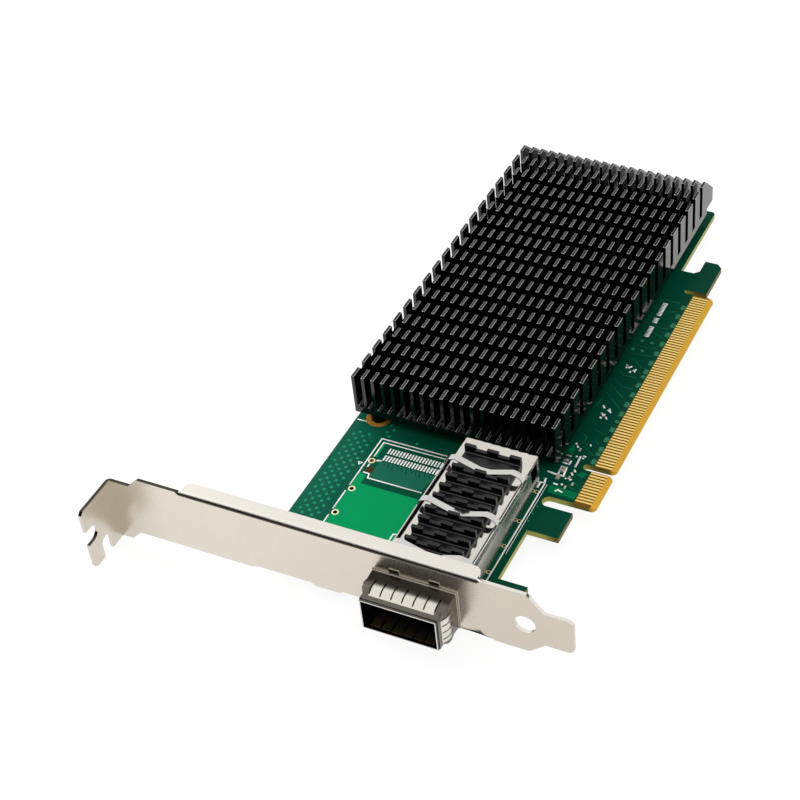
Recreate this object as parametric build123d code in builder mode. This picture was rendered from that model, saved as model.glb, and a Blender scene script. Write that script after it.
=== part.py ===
from build123d import *
import os

# Low-profile computer network card on a full-height bracket, for one pluggable optical port.
# Millimetres. The origin is the datum of the card edge: X = 0 on the centre line of its key
# notch, Y = 0 on the outer edge of its gold fingers and Z = 0 on the component face of the board.
# +X runs from the bracket towards the free end of the card, +Y away from the fingers and +Z up
# out of the component face.

os.makedirs("parts", exist_ok=True)

# Card edge, measured from the centre of the key notch
PAD_PITCH = 1.0
PAD_WIDTH = 0.70
PAD_LENGTH = 4.30
PAD_PLATING = 0.05
SHORT_TAB_PADS = 11
LONG_TAB_PADS = 71
KEY_WIDTH = 1.90
KEY_DEPTH = 8.25
KEY_TO_PAD = 0.55
TAB_END_MARGIN = 0.75
BEVEL_LENGTH = 1.30
BEVEL_DROP = 0.47
TAB_CORNER = 0.60

# Circuit board
BOARD_THICKNESS = 1.57
BOARD_LENGTH = 166.0
BOARD_HEIGHT = 68.90
BOARD_CORNER = 1.0
BODY_EDGE_Y = 12.55
FOOT_LENGTH = 14.3
FOOT_EDGE_Y = 5.05
LEG_WIDTH = 9.0
LEG_EDGE_Y = 4.50
LEG_SLOT_WIDTH = 3.30
LEG_SLOT_DEPTH = 13.1
HOOK_SLOT_WIDTH = 1.30
HOOK_SLOT_DEPTH = 8.60
HOOK_LENGTH = 13.7
HOOK_EDGE_Y = 2.60
HOOK_TIP_Y = 7.65
HOOK_TIP_LENGTH = 4.7
HOOK_NECK_SLOPE = 1.3
HOOK_CORNER = 1.4

# Full-height bracket
KEY_TO_BRACKET = 57.15
SHEET = 0.86
BRACKET_LENGTH = 120.02
BRACKET_WIDTH = 18.42
BOARD_GAP = 0.40
TONGUE_REACH = 13.0
TONGUE_WIDTH = 10.19
TONGUE_LENGTH = 6.95
TONGUE_DROP = 4.70
TONGUE_CORNER = 1.60
TONGUE_HOLE_RADIUS = 2.60
TONGUE_HOLE_Y = -1.30
SHOULDER_LENGTH = 4.05
TAB_LENGTH = 12.0
TAB_SHIFT = 2.90
TAB_STEP_GAP = 6.30
TAB_STEP_OFFSET = 2.60
SCREW_NOTCH_RADIUS = 2.21
SCREW_NOTCH_DEPTH = 4.10
SCREW_NOTCH_DROP = 8.50
TAB_RELIEF_WIDTH = 3.40
TAB_RELIEF_DEPTH = 5.50
TAB_RELIEF_OFFSET = 4.35
FLANGE_WIDTH = 4.05
FLANGE_LENGTH = 76.25
FLANGE_START_Y = 9.95
FLANGE_CORNER = 1.80
BOARD_TAB_REACH = 10.6
BOARD_TAB_SCREW_INSET = 3.65
UPPER_TAB_Y = (53.5, 68.2)
MIDDLE_TAB_Y = (36.4, 45.2)
LOWER_TAB_Y = (7.2, 15.3)
BRACKET_SCREW_Y = (60.9, 11.3)
BRACKET_SCREW_RADIUS = 1.45
BRACKET_SCREW_CLEARANCE = 0.15
BRACKET_HEAD_RADIUS = 2.50
BRACKET_HEAD_HEIGHT = 1.70

# Port cage
CAGE_WIDTH = 19.0
CAGE_HEIGHT = 9.1
CAGE_CENTRE_Y = 25.45
CAGE_REACH = 9.20
CAGE_REAR_X = -9.30
CAGE_WALL = 0.30
CAGE_FLOOR_LENGTH = 31.0
CAGE_PIN_X = (-12.2, -22.7, -31.5, -40.6)
CAGE_PIN_WIDTH = 0.60
CAGE_PIN_DEPTH = 1.40
CAGE_PIN_HOLE_RADIUS = 0.55
CAGE_WINDOW_LENGTH = 39.0
CAGE_WINDOW_WIDTH = 14.0
CAGE_WINDOW_MARGIN = 3.30
REAR_WINDOW_LENGTH = 3.4
REAR_WINDOW_HEIGHT = 4.4
REAR_WINDOW_MARGIN = 0.9
REAR_WINDOW_BOTTOM = 3.4

# Shielding collar round the mouth of the cage
COLLAR_SHEET = 0.20
COLLAR_FLANGE_SIDE = 0.75
COLLAR_FLANGE_TOP = 1.15
COLLAR_FLANGE_BOTTOM = 1.60
COLLAR_TAB_WIDTH = 2.6
COLLAR_TAB_HEIGHT = 1.3
COLLAR_TAB_SPACING = 10.0
COLLAR_BAND = 1.75
COLLAR_FINGER_LENGTH = 3.80
COLLAR_CORNER = 1.40
COLLAR_SKIRT_RISE = 0.65
COLLAR_BAND_SETBACK = 0.60
FINGER_GAP = 0.35
TOP_FINGERS = 6
SIDE_FINGERS = 3
FINGER_RISE = 0.85
CUTOUT_CLEARANCE = 0.35

# Main heatsink
CAGE_TO_SINK = 5.25
SINK_SIDE_GAP = 0.15
SINK_EDGE_GAP = 1.05
SINK_STANDOFF = 2.50
SINK_BASE = 1.70
SINK_TOP_Z = 14.30
FIN_COLUMNS = 21
FIN_ROWS = 19
FIN_THICKNESS = 0.85
PIN_LENGTH = 3.65
LAST_PIN_LENGTH = 8.85
SAW_CUT_RISE = 0.50
OVERHANG = 4.60
NOSE_LENGTH = 6.10
NOSE_DROP = 5.70
SINK_SCREW_INSET_X = 2.15
SINK_SCREW_INSET_Y = 5.35
STANDOFF_RADIUS = 2.00
SINK_SCREW_RADIUS = 1.25
SINK_SCREW_CLEARANCE = 0.35
SINK_SCREW_GRIP = 1.30
SINK_HEAD_RADIUS = 2.40
SINK_HEAD_HEIGHT = 1.50

# Controller chip under the heatsink
CHIP_CENTRE_X = 45.0
CHIP_CENTRE_Y = 41.0
CHIP_SIZE = 31.0
CHIP_BALL_HEIGHT = 0.35
CHIP_BALL_FIELD = 29.0
CHIP_SUBSTRATE = 1.10
LID_SIZE = 25.0
LID_THICKNESS = 0.80

# Host connector inside the cage
HOST_WIDTH = 16.6
HOST_HEIGHT = 7.2
HOST_LENGTH = 13.5
HOST_REAR_GAP = 1.60
CARD_SLOT_HEIGHT = 1.50
CARD_SLOT_DEPTH = 8.0
CARD_SLOT_Z = 4.30
CARD_SLOT_MARGIN = 0.90
CONTACT_COUNT = 19
CONTACT_PITCH = 0.80
CONTACT_WIDTH = 0.40

# Heatsink on the cage
RIDER_WIDTH = 14.75
RIDER_START_X = -52.0
RIDER_END_X = -13.7
RIDER_BASE = 0.60
RIDER_TOP_Z = 11.90
RIDER_PEDESTAL = 0.50
RIDER_PEDESTAL_INSET = 0.60
RIDGE_THICKNESS = 0.90
RIDGE_PITCH = 3.52
STRAP_PITCH = 14.87
FIRST_STRAP_X = -19.25
RIDGES_PER_BAY = 4
RIDGE_CELLS = 5
NOTCH_DEPTH = 1.00

# Spring clip that holds it down
STRAP_WIDTH = 1.75
STRAP_THICKNESS = 0.30
STRAP_RISE = 2.30
STRAP_SHOULDER = 3.10
STRAP_FLAT = 2.6
RAIL_HEIGHT = 3.00
RAIL_TOP_Z = 9.70
RAIL_STANDOFF = 0.50
RAIL_OVERRUN = 1.3

# Unpopulated second port: two rows of bare pads and its pin holes
SPARE_CENTRE_Y = 48.2
SPARE_UPPER_ROW_X = -12.15
SPARE_LOWER_ROW_X = -14.75
SPARE_PAD_LENGTH = 1.90
SPARE_HOLE_X = (-27.3, -36.0)
SPARE_HOLE_Y = 58.1
SPARE_HOLE_RADIUS = 0.50

# Small parts beside the card edge
RESISTOR_SIZE = (2.0, 1.25, 0.50)
RESISTOR_PLACE = (1.1, 12.9)
CAPACITOR_SIZE = (1.6, 0.80, 0.80)
CAPACITOR_PLACES = ((-3.1, 12.3), (-6.1, 12.4))
SMALL_CHIP_SIZE = (1.0, 0.50, 0.35)
SMALL_CHIP_PLACES = ((5.0, 11.2), (-8.6, 9.6), (-5.2, 9.9), (-7.0, 8.3))

# Places that follow from the sizes above
short_pad_start = -(KEY_WIDTH / 2 + KEY_TO_PAD) - (SHORT_TAB_PADS - 1) * PAD_PITCH
long_pad_start = KEY_WIDTH / 2 + KEY_TO_PAD
long_pad_end = long_pad_start + (LONG_TAB_PADS - 1) * PAD_PITCH
short_tab_x = short_pad_start - PAD_WIDTH / 2 - TAB_END_MARGIN
long_tab_x = long_pad_end + PAD_WIDTH / 2 + TAB_END_MARGIN
bracket_face_x = -KEY_TO_BRACKET
bracket_back_x = bracket_face_x + SHEET
board_x0 = bracket_back_x + BOARD_GAP
board_x1 = board_x0 + BOARD_LENGTH
foot_x = board_x0 + FOOT_LENGTH
leg_x1 = short_tab_x - LEG_SLOT_WIDTH
leg_x0 = leg_x1 - LEG_WIDTH
hook_x0 = long_tab_x + HOOK_SLOT_WIDTH
hook_x1 = hook_x0 + HOOK_LENGTH
bracket_low_z = -BOARD_THICKNESS - SHEET
bracket_top_z = bracket_low_z + BRACKET_WIDTH
tab_outer_y = BRACKET_LENGTH - TONGUE_REACH
tab_inner_y = tab_outer_y - SHEET
bracket_screw_x = bracket_face_x + BOARD_TAB_REACH - BOARD_TAB_SCREW_INSET
bracket_hole_radius = BRACKET_SCREW_RADIUS + BRACKET_SCREW_CLEARANCE
cage_x0 = bracket_face_x - CAGE_REACH
cage_length = CAGE_REAR_X - cage_x0
cage_y0 = CAGE_CENTRE_Y - CAGE_WIDTH / 2
cage_y1 = CAGE_CENTRE_Y + CAGE_WIDTH / 2
sink_start_x = CAGE_REAR_X + CAGE_TO_SINK
sink_end_x = board_x1
sink_base_end_x = sink_end_x - OVERHANG
sink_y0 = BODY_EDGE_Y + SINK_EDGE_GAP
sink_y1 = BOARD_HEIGHT - SINK_SIDE_GAP
sink_width = sink_y1 - sink_y0
sink_centre_y = (sink_y0 + sink_y1) / 2
fin_pitch = (sink_width - FIN_THICKNESS) / (FIN_COLUMNS - 1)
row_pitch = (sink_end_x - LAST_PIN_LENGTH - sink_start_x) / (FIN_ROWS - 1)
fin_root_z = SINK_STANDOFF + SINK_BASE
sink_screw_hole = SINK_SCREW_RADIUS + SINK_SCREW_CLEARANCE
sink_screw_places = [
    (sink_start_x + SINK_SCREW_INSET_X, sink_y1 - SINK_SCREW_INSET_Y),
    (sink_base_end_x - SINK_SCREW_INSET_X, sink_y0 + SINK_SCREW_INSET_Y),
]
cage_pin_ys = (cage_y0 + CAGE_WALL / 2, cage_y1 - CAGE_WALL / 2)
cage_pin_places = [(x, y) for x in CAGE_PIN_X for y in cage_pin_ys]
spare_hole_places = [(x, SPARE_HOLE_Y) for x in SPARE_HOLE_X]
ridge_offset = STRAP_PITCH / 2 - (RIDGES_PER_BAY - 1) * RIDGE_PITCH / 2
pad_centre_y = BEVEL_LENGTH + PAD_LENGTH / 2
short_pad_centre = (short_pad_start - long_pad_start) / 2
long_pad_centre = (long_pad_start + long_pad_end) / 2

# The board: finger tabs, key notch, hook and foot are one routed outline
with BuildPart() as circuit_board:
    with BuildSketch(Plane.XY.offset(-BOARD_THICKNESS)) as board_outline:
        with BuildLine():
            Polyline(
                (board_x0, FOOT_EDGE_Y),
                (foot_x, FOOT_EDGE_Y),
                (foot_x, BODY_EDGE_Y),
                (leg_x0, BODY_EDGE_Y),
                (leg_x0, LEG_EDGE_Y),
                (leg_x1, LEG_EDGE_Y),
                (leg_x1, LEG_SLOT_DEPTH - LEG_SLOT_WIDTH / 2),
                (short_tab_x, LEG_SLOT_DEPTH - LEG_SLOT_WIDTH / 2),
                (short_tab_x, 0),
                (-KEY_WIDTH / 2, 0),
                (-KEY_WIDTH / 2, KEY_DEPTH - KEY_WIDTH / 2),
                (KEY_WIDTH / 2, KEY_DEPTH - KEY_WIDTH / 2),
                (KEY_WIDTH / 2, 0),
                (long_tab_x, 0),
                (long_tab_x, HOOK_SLOT_DEPTH - HOOK_SLOT_WIDTH / 2),
                (hook_x0, HOOK_SLOT_DEPTH - HOOK_SLOT_WIDTH / 2),
                (hook_x0, HOOK_EDGE_Y),
                (hook_x1 - HOOK_CORNER, HOOK_EDGE_Y),
                (hook_x1, HOOK_EDGE_Y + HOOK_CORNER),
                (hook_x1, HOOK_TIP_Y),
                (hook_x1 - HOOK_TIP_LENGTH, HOOK_TIP_Y),
                (hook_x1 - HOOK_TIP_LENGTH - HOOK_NECK_SLOPE, HOOK_TIP_Y + HOOK_NECK_SLOPE),
                (hook_x1 - HOOK_TIP_LENGTH - HOOK_NECK_SLOPE, BODY_EDGE_Y),
                (board_x1, BODY_EDGE_Y),
                (board_x1, BOARD_HEIGHT),
                (board_x0, BOARD_HEIGHT),
                close=True,
            )
        make_face()
        chamfer(board_outline.vertices().group_by(Axis.Y)[0], TAB_CORNER)
        fillet(board_outline.vertices().group_by(Axis.X)[-1], BOARD_CORNER)
        with Locations(((leg_x1 + short_tab_x) / 2, LEG_SLOT_DEPTH - LEG_SLOT_WIDTH / 2)):
            Circle(LEG_SLOT_WIDTH / 2, mode=Mode.SUBTRACT)
        with Locations((0, KEY_DEPTH - KEY_WIDTH / 2)):
            Circle(KEY_WIDTH / 2, mode=Mode.SUBTRACT)
        with Locations(((long_tab_x + hook_x0) / 2, HOOK_SLOT_DEPTH - HOOK_SLOT_WIDTH / 2)):
            Circle(HOOK_SLOT_WIDTH / 2, mode=Mode.SUBTRACT)
        with Locations(*sink_screw_places):
            Circle(sink_screw_hole, mode=Mode.SUBTRACT)
        with Locations(*[(bracket_screw_x, y) for y in BRACKET_SCREW_Y]):
            Circle(bracket_hole_radius, mode=Mode.SUBTRACT)
        with Locations(*cage_pin_places):
            Circle(CAGE_PIN_HOLE_RADIUS, mode=Mode.SUBTRACT)
        with Locations(*spare_hole_places):
            Circle(SPARE_HOLE_RADIUS, mode=Mode.SUBTRACT)
    extrude(amount=BOARD_THICKNESS)
    # Both faces of the finger edge are bevelled to enter the slot
    with BuildSketch(Plane.YZ.offset(short_tab_x)) as bevels:
        with BuildLine():
            Polyline((0, 0), (BEVEL_LENGTH, 0), (0, -BEVEL_DROP), close=True)
        make_face()
        with BuildLine():
            Polyline(
                (0, -BOARD_THICKNESS),
                (BEVEL_LENGTH, -BOARD_THICKNESS),
                (0, BEVEL_DROP - BOARD_THICKNESS),
                close=True,
            )
        make_face()
    extrude(amount=long_tab_x - short_tab_x, mode=Mode.SUBTRACT)
circuit_board.part.label = "circuit_board"
export_step(circuit_board.part, "parts/circuit_board.step")

# Gold fingers, the same row on each face of the board
with BuildSketch(mode=Mode.PRIVATE) as finger_rows:
    with Locations((short_pad_centre, pad_centre_y)):
        with GridLocations(PAD_PITCH, 1, SHORT_TAB_PADS, 1):
            Rectangle(PAD_WIDTH, PAD_LENGTH)
    with Locations((long_pad_centre, pad_centre_y)):
        with GridLocations(PAD_PITCH, 1, LONG_TAB_PADS, 1):
            Rectangle(PAD_WIDTH, PAD_LENGTH)

with BuildPart() as fingers_component_side:
    with BuildSketch(Plane.XY):
        add(finger_rows.sketch)
    extrude(amount=PAD_PLATING)
fingers_component_side.part.label = "fingers_component_side"
export_step(fingers_component_side.part, "parts/fingers_component_side.step")

with BuildPart() as fingers_solder_side:
    with BuildSketch(Plane.XY.offset(-BOARD_THICKNESS - PAD_PLATING)):
        add(finger_rows.sketch)
    extrude(amount=PAD_PLATING)
fingers_solder_side.part.label = "fingers_solder_side"
export_step(fingers_solder_side.part, "parts/fingers_solder_side.step")

# Bare tinned pads of the second port's connector
with BuildPart() as spare_port_pads:
    with BuildSketch(Plane.XY):
        with Locations((SPARE_UPPER_ROW_X, SPARE_CENTRE_Y)):
            with GridLocations(1, CONTACT_PITCH, 1, CONTACT_COUNT):
                Rectangle(SPARE_PAD_LENGTH, CONTACT_WIDTH)
        with Locations((SPARE_LOWER_ROW_X, SPARE_CENTRE_Y)):
            with GridLocations(1, CONTACT_PITCH, 1, CONTACT_COUNT):
                Rectangle(SPARE_PAD_LENGTH, CONTACT_WIDTH)
    extrude(amount=PAD_PLATING)
spare_port_pads.part.label = "spare_port_pads"
export_step(spare_port_pads.part, "parts/spare_port_pads.step")

# Main heatsink: an extrusion with lengthwise channels, sawn across into rows of pins. The saw
# stops a little above the channel floors, and the far end slopes.
with BuildPart() as main_heatsink:
    with BuildSketch(Plane.XZ.offset(-sink_y1)):
        with BuildLine():
            Polyline(
                (sink_start_x, SINK_STANDOFF),
                (sink_base_end_x, SINK_STANDOFF),
                (sink_base_end_x, fin_root_z),
                (sink_end_x, fin_root_z),
                (sink_end_x, SINK_TOP_Z - NOSE_DROP),
                (sink_end_x - NOSE_LENGTH, SINK_TOP_Z),
                (sink_start_x, SINK_TOP_Z),
                close=True,
            )
        make_face()
    extrude(amount=sink_width)
    with BuildSketch(Plane.XY.offset(fin_root_z)):
        with Locations(((sink_start_x + sink_end_x) / 2, sink_centre_y)):
            with GridLocations(1, fin_pitch, 1, FIN_COLUMNS - 1):
                Rectangle(sink_end_x - sink_start_x, fin_pitch - FIN_THICKNESS)
    extrude(amount=SINK_TOP_Z - fin_root_z, mode=Mode.SUBTRACT)
    with BuildSketch(Plane.XY.offset(fin_root_z + SAW_CUT_RISE)):
        with Locations((sink_start_x + PIN_LENGTH + (FIN_ROWS - 2) * row_pitch / 2, sink_centre_y)):
            with GridLocations(row_pitch, 1, FIN_ROWS - 1, 1):
                Rectangle(row_pitch - PIN_LENGTH, sink_width, align=(Align.MIN, Align.CENTER))
    extrude(amount=SINK_TOP_Z - fin_root_z - SAW_CUT_RISE, mode=Mode.SUBTRACT)
    with BuildSketch(Plane.XY.offset(SINK_STANDOFF)):
        with Locations(*sink_screw_places):
            Circle(SINK_SCREW_RADIUS)
    extrude(amount=SINK_SCREW_GRIP, mode=Mode.SUBTRACT)
main_heatsink.part.label = "main_heatsink"
export_step(main_heatsink.part, "parts/main_heatsink.step")

# Spacer sleeves between the board and the heatsink, at two opposite corners
with BuildPart() as heatsink_standoffs:
    with BuildSketch(Plane.XY):
        with Locations(*sink_screw_places):
            Circle(STANDOFF_RADIUS)
            Circle(SINK_SCREW_RADIUS, mode=Mode.SUBTRACT)
    extrude(amount=SINK_STANDOFF)
heatsink_standoffs.part.label = "heatsink_standoffs"
export_step(heatsink_standoffs.part, "parts/heatsink_standoffs.step")

# Their screws come up through the board and the sleeves into the heatsink's base
with BuildPart() as heatsink_screws:
    with BuildSketch(Plane.XY.offset(-BOARD_THICKNESS)):
        with Locations(*sink_screw_places):
            Circle(SINK_SCREW_RADIUS)
    extrude(amount=BOARD_THICKNESS + SINK_STANDOFF + SINK_SCREW_GRIP)
    with BuildSketch(Plane.XY.offset(-BOARD_THICKNESS)):
        with Locations(*sink_screw_places):
            Circle(SINK_HEAD_RADIUS)
    extrude(amount=-SINK_HEAD_HEIGHT)
heatsink_screws.part.label = "heatsink_screws"
export_step(heatsink_screws.part, "parts/heatsink_screws.step")

# Controller chip, from the board up: solder balls, substrate, lid and thermal pad
with BuildPart() as chip_ball_field:
    with BuildSketch(Plane.XY):
        with Locations((CHIP_CENTRE_X, CHIP_CENTRE_Y)):
            Rectangle(CHIP_BALL_FIELD, CHIP_BALL_FIELD)
    extrude(amount=CHIP_BALL_HEIGHT)
chip_ball_field.part.label = "chip_ball_field"
export_step(chip_ball_field.part, "parts/chip_ball_field.step")

with BuildPart() as chip_substrate:
    with BuildSketch(Plane.XY.offset(CHIP_BALL_HEIGHT)):
        with Locations((CHIP_CENTRE_X, CHIP_CENTRE_Y)):
            Rectangle(CHIP_SIZE, CHIP_SIZE)
    extrude(amount=CHIP_SUBSTRATE)
chip_substrate.part.label = "chip_substrate"
export_step(chip_substrate.part, "parts/chip_substrate.step")

lid_z = CHIP_BALL_HEIGHT + CHIP_SUBSTRATE
with BuildPart() as chip_lid:
    with BuildSketch(Plane.XY.offset(lid_z)):
        with Locations((CHIP_CENTRE_X, CHIP_CENTRE_Y)):
            Rectangle(LID_SIZE, LID_SIZE)
    extrude(amount=LID_THICKNESS)
chip_lid.part.label = "chip_lid"
export_step(chip_lid.part, "parts/chip_lid.step")

with BuildPart() as thermal_pad:
    with BuildSketch(Plane.XY.offset(lid_z + LID_THICKNESS)):
        with Locations((CHIP_CENTRE_X, CHIP_CENTRE_Y)):
            Rectangle(LID_SIZE, LID_SIZE)
    extrude(amount=SINK_STANDOFF - lid_z - LID_THICKNESS)
thermal_pad.part.label = "thermal_pad"
export_step(thermal_pad.part, "parts/thermal_pad.step")

# Port cage: a folded box, open at the mouth, with a window on top for its heatsink
cage_window_x = CAGE_REAR_X - CAGE_WINDOW_MARGIN - CAGE_WINDOW_LENGTH / 2
with BuildPart() as port_cage:
    with BuildSketch(Plane.YZ.offset(cage_x0)):
        with Locations((CAGE_CENTRE_Y, CAGE_HEIGHT / 2)):
            Rectangle(CAGE_WIDTH, CAGE_HEIGHT)
    extrude(amount=cage_length)
    offset(amount=-CAGE_WALL, openings=port_cage.faces().sort_by(Axis.X)[0])
    with BuildSketch(Plane.XY.offset(CAGE_HEIGHT - CAGE_WALL)):
        with Locations((cage_window_x, CAGE_CENTRE_Y)):
            Rectangle(CAGE_WINDOW_LENGTH, CAGE_WINDOW_WIDTH)
    extrude(amount=CAGE_WALL, mode=Mode.SUBTRACT)
    # The floor stops short, so the host connector stands on the board
    with BuildSketch(Plane.XY):
        with Locations((cage_x0 + CAGE_FLOOR_LENGTH, CAGE_CENTRE_Y)):
            Rectangle(
                cage_length - CAGE_FLOOR_LENGTH - CAGE_WALL,
                CAGE_WIDTH - 2 * CAGE_WALL,
                align=(Align.MIN, Align.CENTER),
            )
    extrude(amount=CAGE_WALL, mode=Mode.SUBTRACT)
    # Latch and vent windows in both side walls near the rear
    with BuildSketch(Plane.XZ.offset(-cage_y1)):
        with Locations((CAGE_REAR_X - REAR_WINDOW_MARGIN, REAR_WINDOW_BOTTOM)):
            Rectangle(
                REAR_WINDOW_LENGTH,
                REAR_WINDOW_HEIGHT,
                align=(Align.MAX, Align.MIN),
            )
    extrude(amount=CAGE_WIDTH, mode=Mode.SUBTRACT)
    # Press-fit pins along both walls
    with Locations(*[(x, y, 0) for x, y in cage_pin_places]):
        Box(
            CAGE_PIN_WIDTH,
            CAGE_WALL,
            CAGE_PIN_DEPTH,
            align=(Align.CENTER, Align.CENTER, Align.MAX),
        )
port_cage.part.label = "port_cage"
export_step(port_cage.part, "parts/port_cage.step")

# Shielding collar: a flange on the bracket, a band at the mouth and a bowed sheet between them.
# The sheet is slit into fingers next to the band and left whole at its corners and its root.
collar_width = CAGE_WIDTH + 2 * (COLLAR_FLANGE_SIDE + CUTOUT_CLEARANCE)
collar_low_z = -COLLAR_FLANGE_BOTTOM
collar_top_z = CAGE_HEIGHT + COLLAR_FLANGE_TOP
collar_x0 = bracket_face_x - COLLAR_SHEET
band_x1 = cage_x0 + COLLAR_BAND_SETBACK + COLLAR_BAND
finger_root_x = band_x1 + COLLAR_FINGER_LENGTH
# Places along the bow, and how far its inner face stands off the cage there
collar_bow = (
    (band_x1, 0),
    (band_x1 + COLLAR_FINGER_LENGTH * 0.3, FINGER_RISE * 0.8),
    (band_x1 + COLLAR_FINGER_LENGTH * 0.6, FINGER_RISE),
    (finger_root_x, COLLAR_SKIRT_RISE),
    (collar_x0, COLLAR_FLANGE_SIDE),
)
with BuildPart() as shielding_collar:
    with BuildSketch(Plane.YZ.offset(collar_x0)):
        with Locations((CAGE_CENTRE_Y, collar_low_z)):
            Rectangle(
                collar_width,
                collar_top_z - collar_low_z,
                align=(Align.CENTER, Align.MIN),
            )
        with Locations((CAGE_CENTRE_Y, collar_top_z)):
            with GridLocations(COLLAR_TAB_SPACING, 1, 2, 1):
                Rectangle(
                    COLLAR_TAB_WIDTH,
                    2 * COLLAR_TAB_HEIGHT,
                )
        with Locations((CAGE_CENTRE_Y, CAGE_HEIGHT / 2)):
            Rectangle(CAGE_WIDTH, CAGE_HEIGHT, mode=Mode.SUBTRACT)
    extrude(amount=COLLAR_SHEET)
    with BuildSketch(Plane.YZ.offset(cage_x0 + COLLAR_BAND_SETBACK)):
        with Locations((CAGE_CENTRE_Y, CAGE_HEIGHT / 2)):
            Rectangle(CAGE_WIDTH + 2 * COLLAR_SHEET, CAGE_HEIGHT + 2 * COLLAR_SHEET)
            Rectangle(CAGE_WIDTH, CAGE_HEIGHT, mode=Mode.SUBTRACT)
    extrude(amount=COLLAR_BAND)
    # The bowed sheet: its outer form, then its inner form cut out of it
    for sheet, mode in ((COLLAR_SHEET, Mode.ADD), (0, Mode.SUBTRACT)):
        for x, rise in collar_bow:
            with BuildSketch(Plane.YZ.offset(x)):
                with Locations((CAGE_CENTRE_Y, CAGE_HEIGHT / 2)):
                    Rectangle(CAGE_WIDTH + 2 * (rise + sheet), CAGE_HEIGHT + 2 * (rise + sheet))
        loft(ruled=True, mode=mode)
    # Slits between the fingers, through opposite walls at once
    with BuildSketch(Plane.YZ.offset(band_x1)):
        with Locations((CAGE_CENTRE_Y, CAGE_HEIGHT / 2)):
            with GridLocations((CAGE_WIDTH - 2 * COLLAR_CORNER) / TOP_FINGERS, 1, TOP_FINGERS + 1, 1):
                Rectangle(FINGER_GAP, CAGE_HEIGHT + 4 * FINGER_RISE)
            with GridLocations(1, (CAGE_HEIGHT - 2 * COLLAR_CORNER) / SIDE_FINGERS, 1, SIDE_FINGERS + 1):
                Rectangle(CAGE_WIDTH + 4 * FINGER_RISE, FINGER_GAP)
    extrude(amount=COLLAR_FINGER_LENGTH, mode=Mode.SUBTRACT)
shielding_collar.part.label = "shielding_collar"
export_step(shielding_collar.part, "parts/shielding_collar.step")

# Host connector: the socket at the back of the cage that the module's edge enters
host_x1 = CAGE_REAR_X - CAGE_WALL - HOST_REAR_GAP
host_x0 = host_x1 - HOST_LENGTH
card_slot_width = HOST_WIDTH - 2 * CARD_SLOT_MARGIN
with BuildPart() as host_connector:
    with BuildSketch(Plane.XY):
        with Locations((host_x0, CAGE_CENTRE_Y)):
            Rectangle(HOST_LENGTH, HOST_WIDTH, align=(Align.MIN, Align.CENTER))
    extrude(amount=HOST_HEIGHT)
    chamfer(
        host_connector.edges().filter_by(Axis.Y).group_by(Axis.X)[0].sort_by(Axis.Z)[-1],
        CARD_SLOT_MARGIN,
    )
    with BuildSketch(Plane.YZ.offset(host_x0)):
        with Locations((CAGE_CENTRE_Y, CARD_SLOT_Z)):
            Rectangle(card_slot_width, CARD_SLOT_HEIGHT)
    extrude(amount=CARD_SLOT_DEPTH, mode=Mode.SUBTRACT)
host_connector.part.label = "host_connector"
export_step(host_connector.part, "parts/host_connector.step")

# Heatsink that rides on the cage, its ridges notched into cells
rider_length = RIDER_END_X - RIDER_START_X
rider_root_z = CAGE_HEIGHT + RIDER_BASE
bay_xs = [
    FIRST_STRAP_X - bay * STRAP_PITCH - ridge_offset - number * RIDGE_PITCH
    for bay in range(3)
    for number in range(RIDGES_PER_BAY)
]
end_ridge_x = RIDER_END_X - RIDGE_THICKNESS / 2
ridge_xs = [end_ridge_x] + [x for x in bay_xs if x >= RIDER_START_X + RIDGE_THICKNESS / 2]
cell_width = RIDER_WIDTH / RIDGE_CELLS
with BuildPart() as cage_heatsink:
    with BuildSketch(Plane.XY.offset(CAGE_HEIGHT - CAGE_WALL - RIDER_PEDESTAL)):
        with Locations((cage_window_x, CAGE_CENTRE_Y)):
            Rectangle(
                CAGE_WINDOW_LENGTH - 2 * RIDER_PEDESTAL_INSET,
                CAGE_WINDOW_WIDTH - 2 * RIDER_PEDESTAL_INSET,
            )
    extrude(amount=RIDER_PEDESTAL + CAGE_WALL)
    with BuildSketch(Plane.XY.offset(CAGE_HEIGHT)):
        with Locations((RIDER_START_X, CAGE_CENTRE_Y)):
            Rectangle(rider_length, RIDER_WIDTH, align=(Align.MIN, Align.CENTER))
    extrude(amount=RIDER_BASE)
    with BuildSketch(Plane.XY.offset(rider_root_z)):
        with Locations(*[(x, CAGE_CENTRE_Y) for x in ridge_xs]):
            Rectangle(RIDGE_THICKNESS, RIDER_WIDTH)
    extrude(amount=RIDER_TOP_Z - rider_root_z)
    with BuildSketch(Plane.XY.offset(RIDER_TOP_Z - NOTCH_DEPTH)):
        with Locations((RIDER_START_X + rider_length / 2, CAGE_CENTRE_Y)):
            with GridLocations(1, 2 * cell_width, 1, RIDGE_CELLS // 2):
                Rectangle(rider_length, cell_width)
    extrude(amount=NOTCH_DEPTH, mode=Mode.SUBTRACT)
cage_heatsink.part.label = "cage_heatsink"
export_step(cage_heatsink.part, "parts/cage_heatsink.step")

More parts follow.
